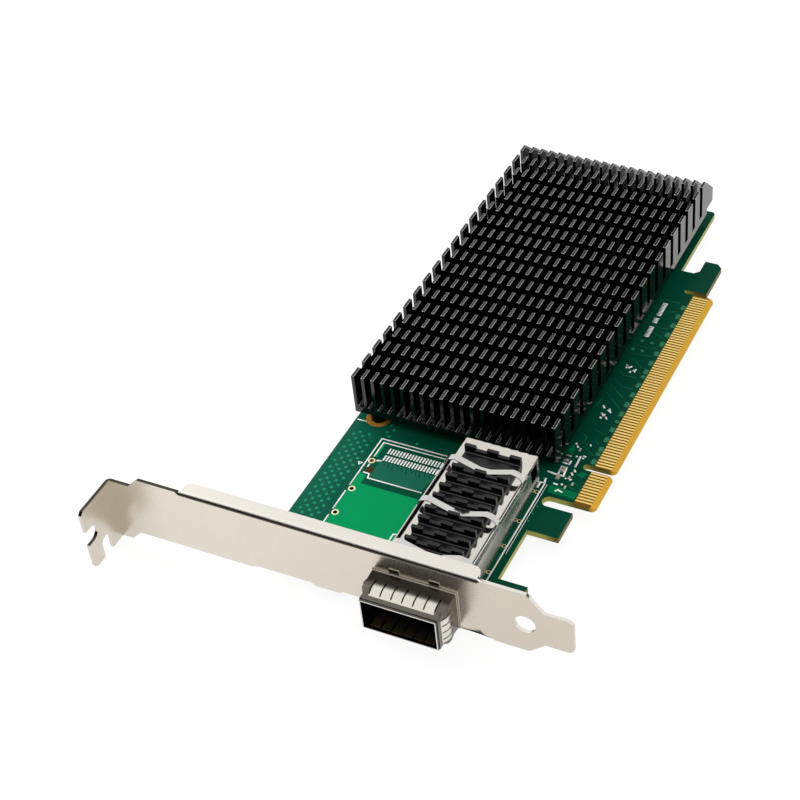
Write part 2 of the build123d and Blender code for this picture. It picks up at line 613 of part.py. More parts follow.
# Spring clip: two rails that lean on the cage walls and three straps bowed onto the heatsink
strap_xs = [FIRST_STRAP_X - number * STRAP_PITCH for number in range(3)]
rail_x0 = strap_xs[-1] - STRAP_WIDTH / 2 - RAIL_OVERRUN
rail_x1 = strap_xs[0] + STRAP_WIDTH / 2 + RAIL_OVERRUN
strap_top_z = RAIL_TOP_Z + STRAP_RISE
rail_outer_y = CAGE_WIDTH / 2 + RAIL_STANDOFF + STRAP_THICKNESS
shoulder_y = rail_outer_y - STRAP_SHOULDER
with BuildPart() as heatsink_clip:
    with BuildSketch(mode=Mode.PRIVATE) as rail_profile:
        with BuildLine():
            Polyline(
                (CAGE_WIDTH / 2, RAIL_TOP_Z - RAIL_HEIGHT),
                (CAGE_WIDTH / 2 + STRAP_THICKNESS, RAIL_TOP_Z - RAIL_HEIGHT),
                (rail_outer_y, RAIL_TOP_Z),
                (rail_outer_y - STRAP_THICKNESS, RAIL_TOP_Z),
                close=True,
            )
        make_face()
        mirror(about=Plane.YZ)
    rail_start = (rail_x0, CAGE_CENTRE_Y, 0)
    with BuildSketch(Plane(origin=rail_start, x_dir=(0, 1, 0), z_dir=(1, 0, 0))):
        add(rail_profile.sketch)
    extrude(amount=rail_x1 - rail_x0)
    with BuildSketch(mode=Mode.PRIVATE) as strap_profile:
        with BuildLine():
            Polyline(
                (shoulder_y, strap_top_z - STRAP_THICKNESS),
                (STRAP_FLAT / 2, rider_root_z),
                (0, rider_root_z),
                (0, rider_root_z + STRAP_THICKNESS),
                (STRAP_FLAT / 2, rider_root_z + STRAP_THICKNESS),
                (shoulder_y, strap_top_z),
            )
            # The shoulder bends down to the rail, its inner face one sheet inside its outer face
            for inset in (0, STRAP_THICKNESS):
                EllipticalCenterArc(
                    (shoulder_y, RAIL_TOP_Z),
                    STRAP_SHOULDER - inset,
                    STRAP_RISE - inset,
                    start_angle=0,
                    arc_size=90,
                )
            Line((rail_outer_y - STRAP_THICKNESS, RAIL_TOP_Z), (rail_outer_y, RAIL_TOP_Z))
        make_face()
        mirror(about=Plane.YZ)
    for strap_x in strap_xs:
        strap_start = (strap_x - STRAP_WIDTH / 2, CAGE_CENTRE_Y, 0)
        with BuildSketch(Plane(origin=strap_start, x_dir=(0, 1, 0), z_dir=(1, 0, 0))):
            add(strap_profile.sketch)
        extrude(amount=STRAP_WIDTH)
heatsink_clip.part.label = "heatsink_clip"
export_step(heatsink_clip.part, "parts/heatsink_clip.step")

# Full-height bracket: face, tongue, screw tab, stiffening flange and board tabs from one sheet
face_top_y = tab_outer_y
tab_step_y1 = tab_outer_y - TAB_STEP_GAP
tab_step_y0 = tab_step_y1 - TAB_SHIFT
low_step_y1 = tab_step_y1 + TAB_STEP_OFFSET
low_step_y0 = low_step_y1 - TAB_SHIFT
tongue_end_y = -TONGUE_REACH
tongue_root_y = tongue_end_y + TONGUE_LENGTH
shoulder_y = tongue_root_y + SHOULDER_LENGTH
tongue_top_z = bracket_top_z - TONGUE_DROP
tongue_low_z = tongue_top_z - TONGUE_WIDTH
tongue_hole_z = (tongue_top_z + tongue_low_z) / 2
cutout_width = CAGE_WIDTH + 2 * CUTOUT_CLEARANCE
cutout_height = CAGE_HEIGHT + 2 * CUTOUT_CLEARANCE
tab_top_z = bracket_top_z - TAB_SHIFT
tab_low_z = bracket_low_z - TAB_SHIFT
notch_z = tab_top_z - SCREW_NOTCH_DROP
tab_end_x = bracket_face_x - TAB_LENGTH
with BuildPart() as bracket:
    with BuildSketch(Plane.YZ.offset(bracket_face_x)) as face_outline:
        with BuildLine():
            Polyline(
                (tongue_end_y, tongue_low_z),
                (tongue_root_y, tongue_low_z),
                (shoulder_y, bracket_low_z),
                (low_step_y0, bracket_low_z),
                (low_step_y1, tab_low_z),
                (face_top_y, tab_low_z),
                (face_top_y, tab_top_z),
                (tab_step_y1, tab_top_z),
                (tab_step_y0, bracket_top_z),
                (shoulder_y, bracket_top_z),
                (tongue_root_y, tongue_top_z),
                (tongue_end_y, tongue_top_z),
                close=True,
            )
        make_face()
        fillet(face_outline.vertices().group_by(Axis.X)[0], TONGUE_CORNER)
        with Locations((TONGUE_HOLE_Y, tongue_hole_z)):
            Circle(TONGUE_HOLE_RADIUS, mode=Mode.SUBTRACT)
        with Locations((CAGE_CENTRE_Y, CAGE_HEIGHT / 2)):
            Rectangle(cutout_width, cutout_height, mode=Mode.SUBTRACT)
    extrude(amount=SHEET)
    # Stiffening flange along the component side
    with BuildSketch(Plane.XY.offset(bracket_top_z - SHEET)) as flange_outline:
        with Locations((bracket_face_x, FLANGE_START_Y)):
            Rectangle(FLANGE_WIDTH, FLANGE_LENGTH, align=(Align.MIN, Align.MIN))
        fillet(flange_outline.vertices().group_by(Axis.X)[-1], FLANGE_CORNER)
    extrude(amount=SHEET)
    # Screw tab, folded outwards, with a notch for the case screw and a relief beside it
    with BuildSketch(Plane.XZ.offset(-tab_outer_y)) as tab_outline:
        with Locations((bracket_face_x + SHEET, tab_low_z)):
            Rectangle(TAB_LENGTH + SHEET, BRACKET_WIDTH, align=(Align.MAX, Align.MIN))
        chamfer(tab_outline.vertices().group_by(Axis.X)[0], SHEET)
        with Locations((tab_end_x, notch_z)):
            Rectangle(
                SCREW_NOTCH_DEPTH - SCREW_NOTCH_RADIUS,
                2 * SCREW_NOTCH_RADIUS,
                align=(Align.MIN, Align.CENTER),
                mode=Mode.SUBTRACT,
            )
        with Locations((tab_end_x + SCREW_NOTCH_DEPTH - SCREW_NOTCH_RADIUS, notch_z)):
            Circle(SCREW_NOTCH_RADIUS, mode=Mode.SUBTRACT)
        with Locations((bracket_face_x - TAB_RELIEF_OFFSET, tab_low_z)):
            Rectangle(
                TAB_RELIEF_WIDTH,
                2 * (TAB_RELIEF_DEPTH - TAB_RELIEF_WIDTH / 2),
                align=(Align.MAX, Align.CENTER),
                mode=Mode.SUBTRACT,
            )
        with Locations(
            (
                bracket_face_x - TAB_RELIEF_OFFSET - TAB_RELIEF_WIDTH / 2,
                tab_low_z + TAB_RELIEF_DEPTH - TAB_RELIEF_WIDTH / 2,
            )
        ):
            Circle(TAB_RELIEF_WIDTH / 2, mode=Mode.SUBTRACT)
    extrude(amount=SHEET)
    # Tabs folded in under the board, two of them tapped for the board's screws
    with BuildSketch(Plane.XY.offset(bracket_low_z)) as board_tabs:
        for low_y, high_y in (UPPER_TAB_Y, MIDDLE_TAB_Y, LOWER_TAB_Y):
            with Locations((bracket_face_x, low_y)):
                Rectangle(BOARD_TAB_REACH, high_y - low_y, align=(Align.MIN, Align.MIN))
        chamfer(board_tabs.vertices().group_by(Axis.X)[-1], FLANGE_CORNER)
        with Locations(*[(bracket_screw_x, y) for y in BRACKET_SCREW_Y]):
            Circle(BRACKET_SCREW_RADIUS, mode=Mode.SUBTRACT)
    extrude(amount=SHEET)
bracket.part.label = "bracket"
export_step(bracket.part, "parts/bracket.step")

# Pan-head screws that hold the board to the bracket
with BuildPart() as bracket_screws:
    with BuildSketch(Plane.XY):
        with Locations(*[(bracket_screw_x, y) for y in BRACKET_SCREW_Y]):
            Circle(BRACKET_HEAD_RADIUS)
    extrude(amount=BRACKET_HEAD_HEIGHT)
    with BuildSketch(Plane.XY):
        with Locations(*[(bracket_screw_x, y) for y in BRACKET_SCREW_Y]):
            Circle(BRACKET_SCREW_RADIUS)
    extrude(amount=-BOARD_THICKNESS - SHEET)
bracket_screws.part.label = "bracket_screws"
export_step(bracket_screws.part, "parts/bracket_screws.step")

# Chip resistor and ceramic capacitors between the cage and the short tab
with BuildPart() as chip_resistor:
    with Locations((*RESISTOR_PLACE, 0)):
        Box(*RESISTOR_SIZE, align=(Align.CENTER, Align.CENTER, Align.MIN))
chip_resistor.part.label = "chip_resistor"
export_step(chip_resistor.part, "parts/chip_resistor.step")

with BuildPart() as ceramic_capacitors:
    with Locations(*[(x, y, 0) for x, y in CAPACITOR_PLACES]):
        Box(*CAPACITOR_SIZE, align=(Align.CENTER, Align.CENTER, Align.MIN))
ceramic_capacitors.part.label = "ceramic_capacitors"
export_step(ceramic_capacitors.part, "parts/ceramic_capacitors.step")

with BuildPart() as small_chip_parts:
    with Locations(*[(x, y, 0) for x, y in SMALL_CHIP_PLACES]):
        Box(*SMALL_CHIP_SIZE, align=(Align.CENTER, Align.CENTER, Align.MIN))
small_chip_parts.part.label = "small_chip_parts"
export_step(small_chip_parts.part, "parts/small_chip_parts.step")
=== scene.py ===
# %% [markdown]
# A computer network card is a green circuit board with gold fingers on one edge, a bent steel
# bracket at one end and, on this one, a black finned heatsink and a cage for an optical module.
# The solid parts come from CAD in metres. This script keeps their places and adds what only
# the eye needs: rounded edges, real finishes, printing, light and a camera.

# %% Load the card and keep its box
import math

import bmesh
import bpy
from mathutils import Matrix, Vector


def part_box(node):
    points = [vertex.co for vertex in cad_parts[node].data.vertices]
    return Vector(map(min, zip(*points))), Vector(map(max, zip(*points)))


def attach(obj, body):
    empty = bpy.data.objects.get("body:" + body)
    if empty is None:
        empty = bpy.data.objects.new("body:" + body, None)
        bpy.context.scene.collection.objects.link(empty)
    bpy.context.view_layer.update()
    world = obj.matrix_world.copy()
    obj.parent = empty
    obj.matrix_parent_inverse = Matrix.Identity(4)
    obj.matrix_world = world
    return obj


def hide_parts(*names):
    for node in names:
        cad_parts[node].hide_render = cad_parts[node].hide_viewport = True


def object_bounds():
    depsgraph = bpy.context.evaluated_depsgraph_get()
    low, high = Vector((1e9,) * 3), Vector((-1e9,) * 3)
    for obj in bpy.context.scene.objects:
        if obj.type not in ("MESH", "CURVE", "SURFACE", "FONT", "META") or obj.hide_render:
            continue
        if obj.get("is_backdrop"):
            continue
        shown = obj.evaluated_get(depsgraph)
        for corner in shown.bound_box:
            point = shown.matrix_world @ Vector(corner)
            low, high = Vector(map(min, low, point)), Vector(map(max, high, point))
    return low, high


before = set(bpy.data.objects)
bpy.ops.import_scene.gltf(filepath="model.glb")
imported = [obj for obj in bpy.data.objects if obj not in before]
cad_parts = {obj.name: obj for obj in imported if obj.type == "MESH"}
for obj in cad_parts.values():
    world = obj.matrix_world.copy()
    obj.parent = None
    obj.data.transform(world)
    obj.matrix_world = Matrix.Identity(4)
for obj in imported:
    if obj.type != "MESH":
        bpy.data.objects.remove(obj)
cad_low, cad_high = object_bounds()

MM = 0.001
print("the card measures", [round((h - l) / MM, 2) for l, h in zip(cad_low, cad_high)], "mm")

# %% [markdown]
# Most pieces start as a copy of a CAD mesh. That mesh is loose triangles, so its doubles are
# merged and its flat facets are joined into whole faces. Only then can an edge be rounded,
# because a bevel needs to know which two faces meet there.

# %% Copy a CAD node and turn a finished mesh into a piece


def merged_copy(node_name):
    """A bmesh of one CAD node with its triangles joined into whole flat faces."""
    bm = bmesh.new()
    bm.from_mesh(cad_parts[node_name].data)
    bmesh.ops.remove_doubles(bm, verts=bm.verts, dist=0.0005 * MM)
    bmesh.ops.dissolve_limit(bm, angle_limit=math.radians(0.5), verts=bm.verts, edges=bm.edges)
    return bm


def round_edges(bm, edges, radius_mm, segments=4):
    """Rounds chosen edges of a bmesh to a radius."""
    bmesh.ops.bevel(
        bm,
        geom=edges,
        offset=radius_mm * MM,
        segments=segments,
        profile=0.5,
        affect="EDGES",
        material=-1,
    )


def make_piece(name, bm, material, edge_mm=0.0, segments=2):
    """Turns a finished bmesh into a piece that rides on the card, its edges rounded if asked."""
    mesh = bpy.data.meshes.new(name)
    bm.to_mesh(mesh)
    bm.free()
    mesh.shade_smooth()
    mesh.set_sharp_from_angle(angle=math.radians(32))
    mesh.materials.append(material)
    piece = bpy.data.objects.new(name, mesh)
    bpy.context.scene.collection.objects.link(piece)
    if edge_mm:
        rounding = piece.modifiers.new("edge_rounding", "BEVEL")
        rounding.width = edge_mm * MM
        rounding.segments = segments
        rounding.limit_method = "ANGLE"
        rounding.angle_limit = math.radians(35)
        rounding.harden_normals = True
    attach(piece, "root")
    print(name, len(mesh.polygons), "faces")
    return piece


def make_drawn(name, bm, material, edge_mm=0.0, segments=2):
    """Turns the faces of a mesh that this script drew outward and makes it a piece."""
    bmesh.ops.recalc_face_normals(bm, faces=bm.faces)
    return make_piece(name, bm, material, edge_mm, segments)


def keep_flat(piece):
    """Weighs a piece's normals by area, so that its flat faces stay flat beside a rounded edge."""
    weighting = piece.modifiers.new("flat_faces_stay_flat", "WEIGHTED_NORMAL")
    weighting.keep_sharp = True
    weighting.weight = 100


# %% [markdown]
# Colours are matched on a screen, so they are written as sRGB hex values. A renderer adds
# light in linear numbers, and one function does the change for every material. Another adds a
# node, so that each material below reads as a short recipe. Four short ones call it for what
# repeats: a mix of two shades, one sum, a ramp, and the axes of a place or a direction.

# %% Colour and node helpers


def linear(hex_colour):
    """The linear colour of an sRGB hex value such as #00573c."""
    channels = [int(hex_colour[i : i + 2], 16) / 255 for i in (1, 3, 5)]
    return [c / 12.92 if c <= 0.04045 else ((c + 0.055) / 1.055) ** 2.4 for c in channels] + [1.0]


def add_node(material, kind, inputs=None, **settings):
    """Adds a node. An input is linked where it gets a socket and set where it gets a value."""
    tree = material.node_tree
    node = tree.nodes.new(kind)
    for name, value in settings.items():
        setattr(node, name, value)
    connect(material, node, inputs or {})
    return node


def connect(material, node, inputs):
    """Links or sets the inputs of a node."""
    for name, value in inputs.items():
        if isinstance(value, bpy.types.NodeSocket):
            material.node_tree.links.new(value, node.inputs[name])
        else:
            node.inputs[name].default_value = value


def start_material(name, surface):
    """A new material with its shader's even values set, and its shader."""
    material = bpy.data.materials.new(name)
    material.use_nodes = True
    shader = material.node_tree.nodes["Principled BSDF"]
    connect(material, shader, surface)
    return material, shader


def blend(material, factor, first, second):
    """The colour that a mix of two shades gives."""
    inputs = {"Factor": factor, "A": first, "B": second}
    return add_node(material, "ShaderNodeMix", inputs, data_type="RGBA").outputs["Result"]


def arithmetic(material, operation, first, second=0.0, third=0.0):
    """The number that one piece of node arithmetic gives."""
    inputs = {0: first, 1: second, 2: third}
    return add_node(material, "ShaderNodeMath", inputs, operation=operation).outputs[0]


def ramp(material, value, start, end, low=0.0, high=1.0, smooth=False):
    """The number between low and high that a value gives on its way from start to end."""
    inputs = {"Value": value, "From Min": start, "From Max": end, "To Min": low, "To Max": high}
    course = "SMOOTHSTEP" if smooth else "LINEAR"
    return add_node(material, "ShaderNodeMapRange", inputs, interpolation_type=course).outputs["Result"]


def axes_of(material, kind, output):
    """The x, y and z of a vector that a node gives, such as a point's place or a face's direction."""
    source = add_node(material, kind).outputs[output]
    return add_node(material, "ShaderNodeSeparateXYZ", {"Vector": source}).outputs


PLACE = ("ShaderNodeTexCoord", "Object")
FACING = ("ShaderNodeNewGeometry", "Normal")

# %% [markdown]
# Most finishes share one habit: their colour and gloss wander a little over a few
# millimetres, and a finer grain breaks up the highlight. One recipe takes two shades, two gloss
# values and the real size of the grain.

# %% A finish with two shades and a grain


def finish_of(name, light, dark, gloss, grain_mm, grain_depth_mm, surface, stretch=(1, 1, 1)):
    """A finish that wanders between two shades and two roughness values over a fine grain."""
    material, shader = start_material(name, surface)
    place = add_node(material, "ShaderNodeTexCoord").outputs["Object"]
    drift = add_node(material, "ShaderNodeTexNoise", {"Vector": place, "Scale": 1 / (12 * MM), "Detail": 3.0})
    shade = blend(material, drift.outputs["Fac"], linear(light), linear(dark))
    stretched = add_node(material, "ShaderNodeMapping", {"Vector": place, "Scale": stretch})
    grain = add_node(
        material,
        "ShaderNodeTexNoise",
        {"Vector": stretched.outputs["Vector"], "Scale": 1 / (grain_mm * MM), "Detail": 2.0},
    )
    polish = ramp(material, grain.outputs["Fac"], 0.3, 0.7, gloss[0], gloss[1])
    relief = add_node(
        material,
        "ShaderNodeBump",
        {"Height": grain.outputs["Fac"], "Distance": grain_depth_mm * MM, "Strength": 0.6},
    )
    connect(
        material,
        shader,
        {"Base Color": shade, "Roughness": polish, "Normal": relief.outputs["Normal"]},
    )
    return material


# %% [markdown]
# Green solder mask is a thin glossy lacquer over copper and glass cloth. Its dark green is
# matched to the photograph and drifts lighter away from the fingers, a painted sheen. The card's
# edges show the straw colour of bare laminate, and between the gold fingers the laminate is
# amber. One material does all of this: it reads which way a face points and where on the board it
# lies.

# %% The circuit board's lacquer, laminate and bevel
board_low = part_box("circuit_board")[0]
finger_low, finger_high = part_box("fingers_component_side")
WEAVE_MM = 0.6
MASK_MARGIN_MM = 0.12
BARE_BEFORE_MM, BARE_AFTER_MM = 2.0, 1.0
LIGHTER_FROM_MM, LIGHTER_TO_MM = 50.0, 68.0
TAB_TONE_FROM_MM, TAB_TONE_TO_MM = 9.0, 5.0
BEVEL_FROM_MM, BEVEL_TO_MM = 1.9, 1.1
PLY_MM = 0.25
mask_start = finger_high.y + MASK_MARGIN_MM * MM
bare_from = finger_low.x - BARE_BEFORE_MM * MM
bare_to = finger_high.x + BARE_AFTER_MM * MM

solder_mask, mask_shader = start_material(
    "solder_mask_over_copper", {"IOR": 1.5, "Roughness": 0.22, "Specular IOR Level": 0.03}
)
board_place = add_node(solder_mask, "ShaderNodeTexCoord").outputs["Object"]
board_axes = axes_of(solder_mask, *PLACE)
flatness = arithmetic(solder_mask, "ABSOLUTE", axes_of(solder_mask, *FACING)["Z"])
is_flat = arithmetic(solder_mask, "GREATER_THAN", flatness, 0.99)
is_edge = arithmetic(solder_mask, "LESS_THAN", flatness, 0.5)
on_tab = arithmetic(solder_mask, "LESS_THAN", board_axes["Y"], mask_start)
right_of_tab_start = arithmetic(solder_mask, "GREATER_THAN", board_axes["X"], bare_from)
left_of_tab_end = arithmetic(solder_mask, "LESS_THAN", board_axes["X"], bare_to)
tab_span = arithmetic(solder_mask, "MULTIPLY", right_of_tab_start, left_of_tab_end)
bare_tab = arithmetic(solder_mask, "MULTIPLY", on_tab, tab_span)
mask_drift = add_node(
    solder_mask, "ShaderNodeTexNoise", {"Vector": board_place, "Scale": 1 / (18 * MM), "Detail": 4.0}
)
mask_green = blend(solder_mask, mask_drift.outputs["Fac"], linear("#003e2b"), linear("#004d38"))
# Painted sheen: the green lightens away from the fingers.
painted_sheen = ramp(solder_mask, board_axes["Y"], LIGHTER_FROM_MM * MM, LIGHTER_TO_MM * MM, 0.0, 0.8)
mask_shade = blend(solder_mask, painted_sheen, mask_green, linear("#17634e"))
laminate_shade = blend(solder_mask, is_flat, linear("#d9a83c"), linear("#7a4e14"))
face_shade = blend(solder_mask, bare_tab, mask_shade, laminate_shade)
flattened = add_node(solder_mask, "ShaderNodeMapping", {"Vector": board_place, "Scale": (0.15, 0.15, 1.0)})
plies = add_node(
    solder_mask, "ShaderNodeTexNoise", {"Vector": flattened.outputs["Vector"], "Scale": 1 / (PLY_MM * MM)}
)
edge_shade = blend(solder_mask, plies.outputs["Fac"], linear("#7a8434"), linear("#b9b068"))
near_tab = ramp(
    solder_mask, board_axes["Y"], TAB_TONE_FROM_MM * MM, TAB_TONE_TO_MM * MM, 0.0, 0.85, smooth=True
)
tab_edge_shade = blend(solder_mask, near_tab, edge_shade, linear("#5c4a16"))
tab_bevel = ramp(solder_mask, board_axes["Y"], BEVEL_FROM_MM * MM, BEVEL_TO_MM * MM)
routed_shade = blend(solder_mask, tab_bevel, tab_edge_shade, linear("#cf9c38"))
whole_shade = blend(solder_mask, is_edge, face_shade, routed_shade)
weave = add_node(
    solder_mask,
    "ShaderNodeTexWave",
    {"Vector": board_place, "Scale": 1 / (WEAVE_MM * MM) / 20, "Distortion": 1.5},
)
mask_relief = add_node(
    solder_mask, "ShaderNodeBump", {"Height": weave.outputs["Fac"], "Distance": 0.002 * MM, "Strength": 0.3}
)
connect(solder_mask, mask_shader, {"Base Color": whole_shade, "Normal": mask_relief.outputs["Normal"]})

# %% [markdown]
# A finish per real material. Hard gold on the fingers is warm and smooth, with a band of painted
# shade down each of their sides. Nickel-plated sheet is pale, and smoother on the cage than on
# the bracket. Black anodising is a hard skin over dyed aluminium: it is black, but it mirrors
# the board and the room faintly. Zinc plate on the screws is greyer.
# Some tones are painted by where a point lies and which way its face points: the dark tops, pale
# rims and pale channel lines of the pins, their gloss, and the cage's dark lip and blurred wall.
# The pale rims and pale channel lines of the pins are painted highlights, as are the grey rims
# and feet of the small heatsink's ridges, and the cage's dark lip is a painted dark reflection.
# They are matched to the photograph, where they may be reflections, and they don't move when the
# view does.

# %% The finishes
METAL = {"Metallic": 1.0}
hard_gold = finish_of(
    "hard_gold_plate", "#fbe89c", "#f2d676", (0.22, 0.32), 0.25, 0.001, METAL
)
gold_shader = hard_gold.node_tree.nodes["Principled BSDF"]
gold_crown = gold_shader.inputs["Base Color"].links[0].from_socket
gold_along = axes_of(hard_gold, *PLACE)["X"]
FINGER_PITCH_MM, CROWN_SHARE = 1.0, 0.2
# Painted shade: a darker band down each side of every finger, gold on its crown.
pitches = arithmetic(hard_gold, "MULTIPLY", gold_along, 1 / (FINGER_PITCH_MM * MM))
in_pitch = arithmetic(hard_gold, "FRACT", pitches)
on_crown = arithmetic(hard_gold, "COMPARE", in_pitch, 0.5, CROWN_SHARE)
gold_shade = blend(hard_gold, on_crown, linear("#c08f35"), gold_crown)
connect(hard_gold, gold_shader, {"Base Color": gold_shade})
hot_tin = finish_of("dull_tinned_pad", "#ffffff", "#f6f6f4", (0.45, 0.6), 0.4, 0.01, {"Metallic": 0.25})
black_anodised = finish_of(
    "black_anodised_aluminium", "#070708", "#030304", (0.08, 0.14), 0.12, 0.001, {"IOR": 1.55}
)
anodised_shader = black_anodised.node_tree.nodes["Principled BSDF"]
anodised_body = anodised_shader.inputs["Base Color"].links[0].from_socket
pin_facing = axes_of(black_anodised, *FACING)
pin_place = axes_of(black_anodised, *PLACE)
pin_height = pin_place["Z"]
TOP_FROM_MM, CHANNEL_TO_MM = 14.05, 6.0
GLOSS_FROM_MM, GLOSS_TO_MM, LEAST_GLOSS, FULL_GLOSS = 16.0, 44.0, 0.12, 0.5
CURVE_MIDDLE, CURVE_HALF_RANGE = -0.75, 0.1
# Painted highlights: pale rims round the pin tops and pale lines at the channel bottoms.
flat_top = ramp(black_anodised, pin_facing["Z"], 0.9, 0.98)
upward = ramp(black_anodised, pin_facing["Z"], 0.05, 0.3)
is_high = arithmetic(black_anodised, "GREATER_THAN", pin_height, TOP_FROM_MM * MM)
pale_rim = arithmetic(black_anodised, "MULTIPLY", upward, is_high)
top_shade = blend(black_anodised, flat_top, linear("#a6a6a8"), linear("#101011"))
pin_shade = blend(black_anodised, pale_rim, anodised_body, top_shade)
is_low = arithmetic(black_anodised, "LESS_THAN", pin_height, CHANNEL_TO_MM * MM)
is_curved = arithmetic(black_anodised, "COMPARE", pin_facing["Y"], CURVE_MIDDLE, CURVE_HALF_RANGE)
channel_line = arithmetic(black_anodised, "MULTIPLY", is_low, is_curved)
sink_shade = blend(black_anodised, channel_line, pin_shade, linear("#a6a6a8"))
on_top = arithmetic(black_anodised, "MULTIPLY", flat_top, is_high)
top_polish = ramp(
    black_anodised, pin_place["Y"], GLOSS_FROM_MM * MM, GLOSS_TO_MM * MM, LEAST_GLOSS, FULL_GLOSS
)
top_gloss = ramp(black_anodised, on_top, 0.0, 1.0, FULL_GLOSS, top_polish)
connect(black_anodised, anodised_shader, {"Base Color": sink_shade, "Specular IOR Level": top_gloss})
dyed_casting = finish_of(
    "black_dyed_die_casting", "#0a0a0b", "#050506", (0.25, 0.35), 0.15, 0.003, {"IOR": 1.4}
)
casting_shader = dyed_casting.node_tree.nodes["Principled BSDF"]
casting_body = casting_shader.inputs["Base Color"].links[0].from_socket
casting_upward = axes_of(dyed_casting, *FACING)["Z"]
# Painted highlight: grey on the sloped rims and rounded feet of the ridges.
rim_band = arithmetic(dyed_casting, "COMPARE", casting_upward, 0.6, 0.3)
casting_shade = blend(dyed_casting, rim_band, casting_body, linear("#58585c"))
connect(dyed_casting, casting_shader, {"Base Color": casting_shade})
zinc_steel = finish_of("zinc_plated_steel", "#d4d4d0", "#bdbdb8", (0.22, 0.34), 0.2, 0.002, METAL)
nickel_steel = finish_of(
    "nickel_plated_cage_sheet", "#dedad2", "#cfcbc2", (0.07, 0.11), 0.3, 0.0001, METAL
)
cage_shader = nickel_steel.node_tree.nodes["Principled BSDF"]
cage_plate = cage_shader.inputs["Base Color"].links[0].from_socket
cage_place = axes_of(nickel_steel, *PLACE)
cage_along = cage_place["X"]
cage_ahead = axes_of(nickel_steel, *FACING)["X"]
LIP_TO_MM = -65.5
WALL_DEPTH_MM, BLUR_FROM_MM, BLUR_TO_MM, LEAST_BLUR, MOST_BLUR = 0.1, -20.0, -54.0, 0.22, 0.5
STRAIGHT_AHEAD = -0.7
# Painted dark reflection on the cage's lip at the mouth.
on_lip = arithmetic(nickel_steel, "LESS_THAN", cage_along, LIP_TO_MM * MM)
not_rim = arithmetic(nickel_steel, "GREATER_THAN", cage_ahead, STRAIGHT_AHEAD)
lip_tone = arithmetic(nickel_steel, "MULTIPLY", on_lip, not_rim)
cage_shade = blend(nickel_steel, lip_tone, cage_plate, linear("#5a564f"))
blur_along = ramp(
    nickel_steel, cage_along, BLUR_FROM_MM * MM, BLUR_TO_MM * MM, LEAST_BLUR, MOST_BLUR, smooth=True
)
outer_wall_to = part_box("port_cage")[0].y + WALL_DEPTH_MM * MM
on_wall = arithmetic(nickel_steel, "LESS_THAN", cage_place["Y"], outer_wall_to)
wall_blur = arithmetic(nickel_steel, "MULTIPLY", blur_along, on_wall)
cage_polish = cage_shader.inputs["Roughness"].links[0].from_socket
cage_blur = arithmetic(nickel_steel, "MAXIMUM", cage_polish, wall_blur)
connect(nickel_steel, cage_shader, {"Base Color": cage_shade, "Roughness": cage_blur})
spring_steel = finish_of(
    "stainless_spring_sheet", "#dad8d4", "#c4c2be", (0.14, 0.22), 0.3, 0.001, METAL, (1, 5, 5)
)

# %% [markdown]
# The collar round the port is stainless spring sheet. In the photograph its spring fingers and
# the rim of its flange are bright, and the rest is darker. Here the bright fingers and rim are
# painted highlights and the darker rest is painted shade. Each zone is a simple test on the place
# of a point or on the way its face points, and the tests are multiplied together. Like the tones
# above, they are painted to match one view.

# %% The collar's bright and dark zones
collar_steel, collar_shader = start_material("stainless_collar_sheet", {"Metallic": 1.0, "Roughness": 0.24})
collar_place = axes_of(collar_steel, *PLACE)
collar_facing = axes_of(collar_steel, *FACING)
cage_middle = (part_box("port_cage")[0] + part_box("port_cage")[1]) / 2
FINGERS_FROM_MM, FINGERS_TO_MM, FADE_IN_MM, FADE_OUT_MM = -64.5, -60.9, 0.15, 1.4
PANEL_HALF_WIDTH_MM, PANEL_HALF_HEIGHT_MM = 8.1, 3.6
FLANGE_FROM_MM, FACES_AHEAD = -57.75, -0.75
SHEET_ROUGHNESS, RIM_ROUGHNESS = 0.24, 0.6
# Painted highlights on the finger panels and the flange rim; the rest is painted shade.
panel_start = ramp(
    collar_steel, collar_place["X"], FINGERS_FROM_MM * MM, (FINGERS_FROM_MM + FADE_IN_MM) * MM
)
fade_from, fade_to = (FINGERS_TO_MM - FADE_OUT_MM) * MM, FINGERS_TO_MM * MM
panel_end = ramp(collar_steel, collar_place["X"], fade_from, fade_to, 1.0, 0.0, smooth=True)
across = arithmetic(
    collar_steel, "COMPARE", collar_place["Y"], cage_middle.y, PANEL_HALF_WIDTH_MM * MM
)
upright = arithmetic(
    collar_steel, "COMPARE", collar_place["Z"], cage_middle.z, PANEL_HALF_HEIGHT_MM * MM
)
on_panel = arithmetic(collar_steel, "MAXIMUM", across, upright)
panel_length = arithmetic(collar_steel, "MULTIPLY", panel_start, panel_end)
panel_tone = arithmetic(collar_steel, "MULTIPLY", panel_length, on_panel)
at_flange = arithmetic(collar_steel, "GREATER_THAN", collar_place["X"], FLANGE_FROM_MM * MM)
not_ahead = arithmetic(collar_steel, "GREATER_THAN", collar_facing["X"], FACES_AHEAD)
bright_rim = arithmetic(collar_steel, "MULTIPLY", at_flange, not_ahead)
bright = arithmetic(collar_steel, "MAXIMUM", panel_tone, bright_rim)
collar_shade = blend(collar_steel, bright, linear("#67635b"), linear("#dcd7cc"))
rim_blur = ramp(collar_steel, bright_rim, 0.0, 1.0, SHEET_ROUGHNESS, RIM_ROUGHNESS)
connect(collar_steel, collar_shader, {"Base Color": collar_shade, "Roughness": rim_blur})
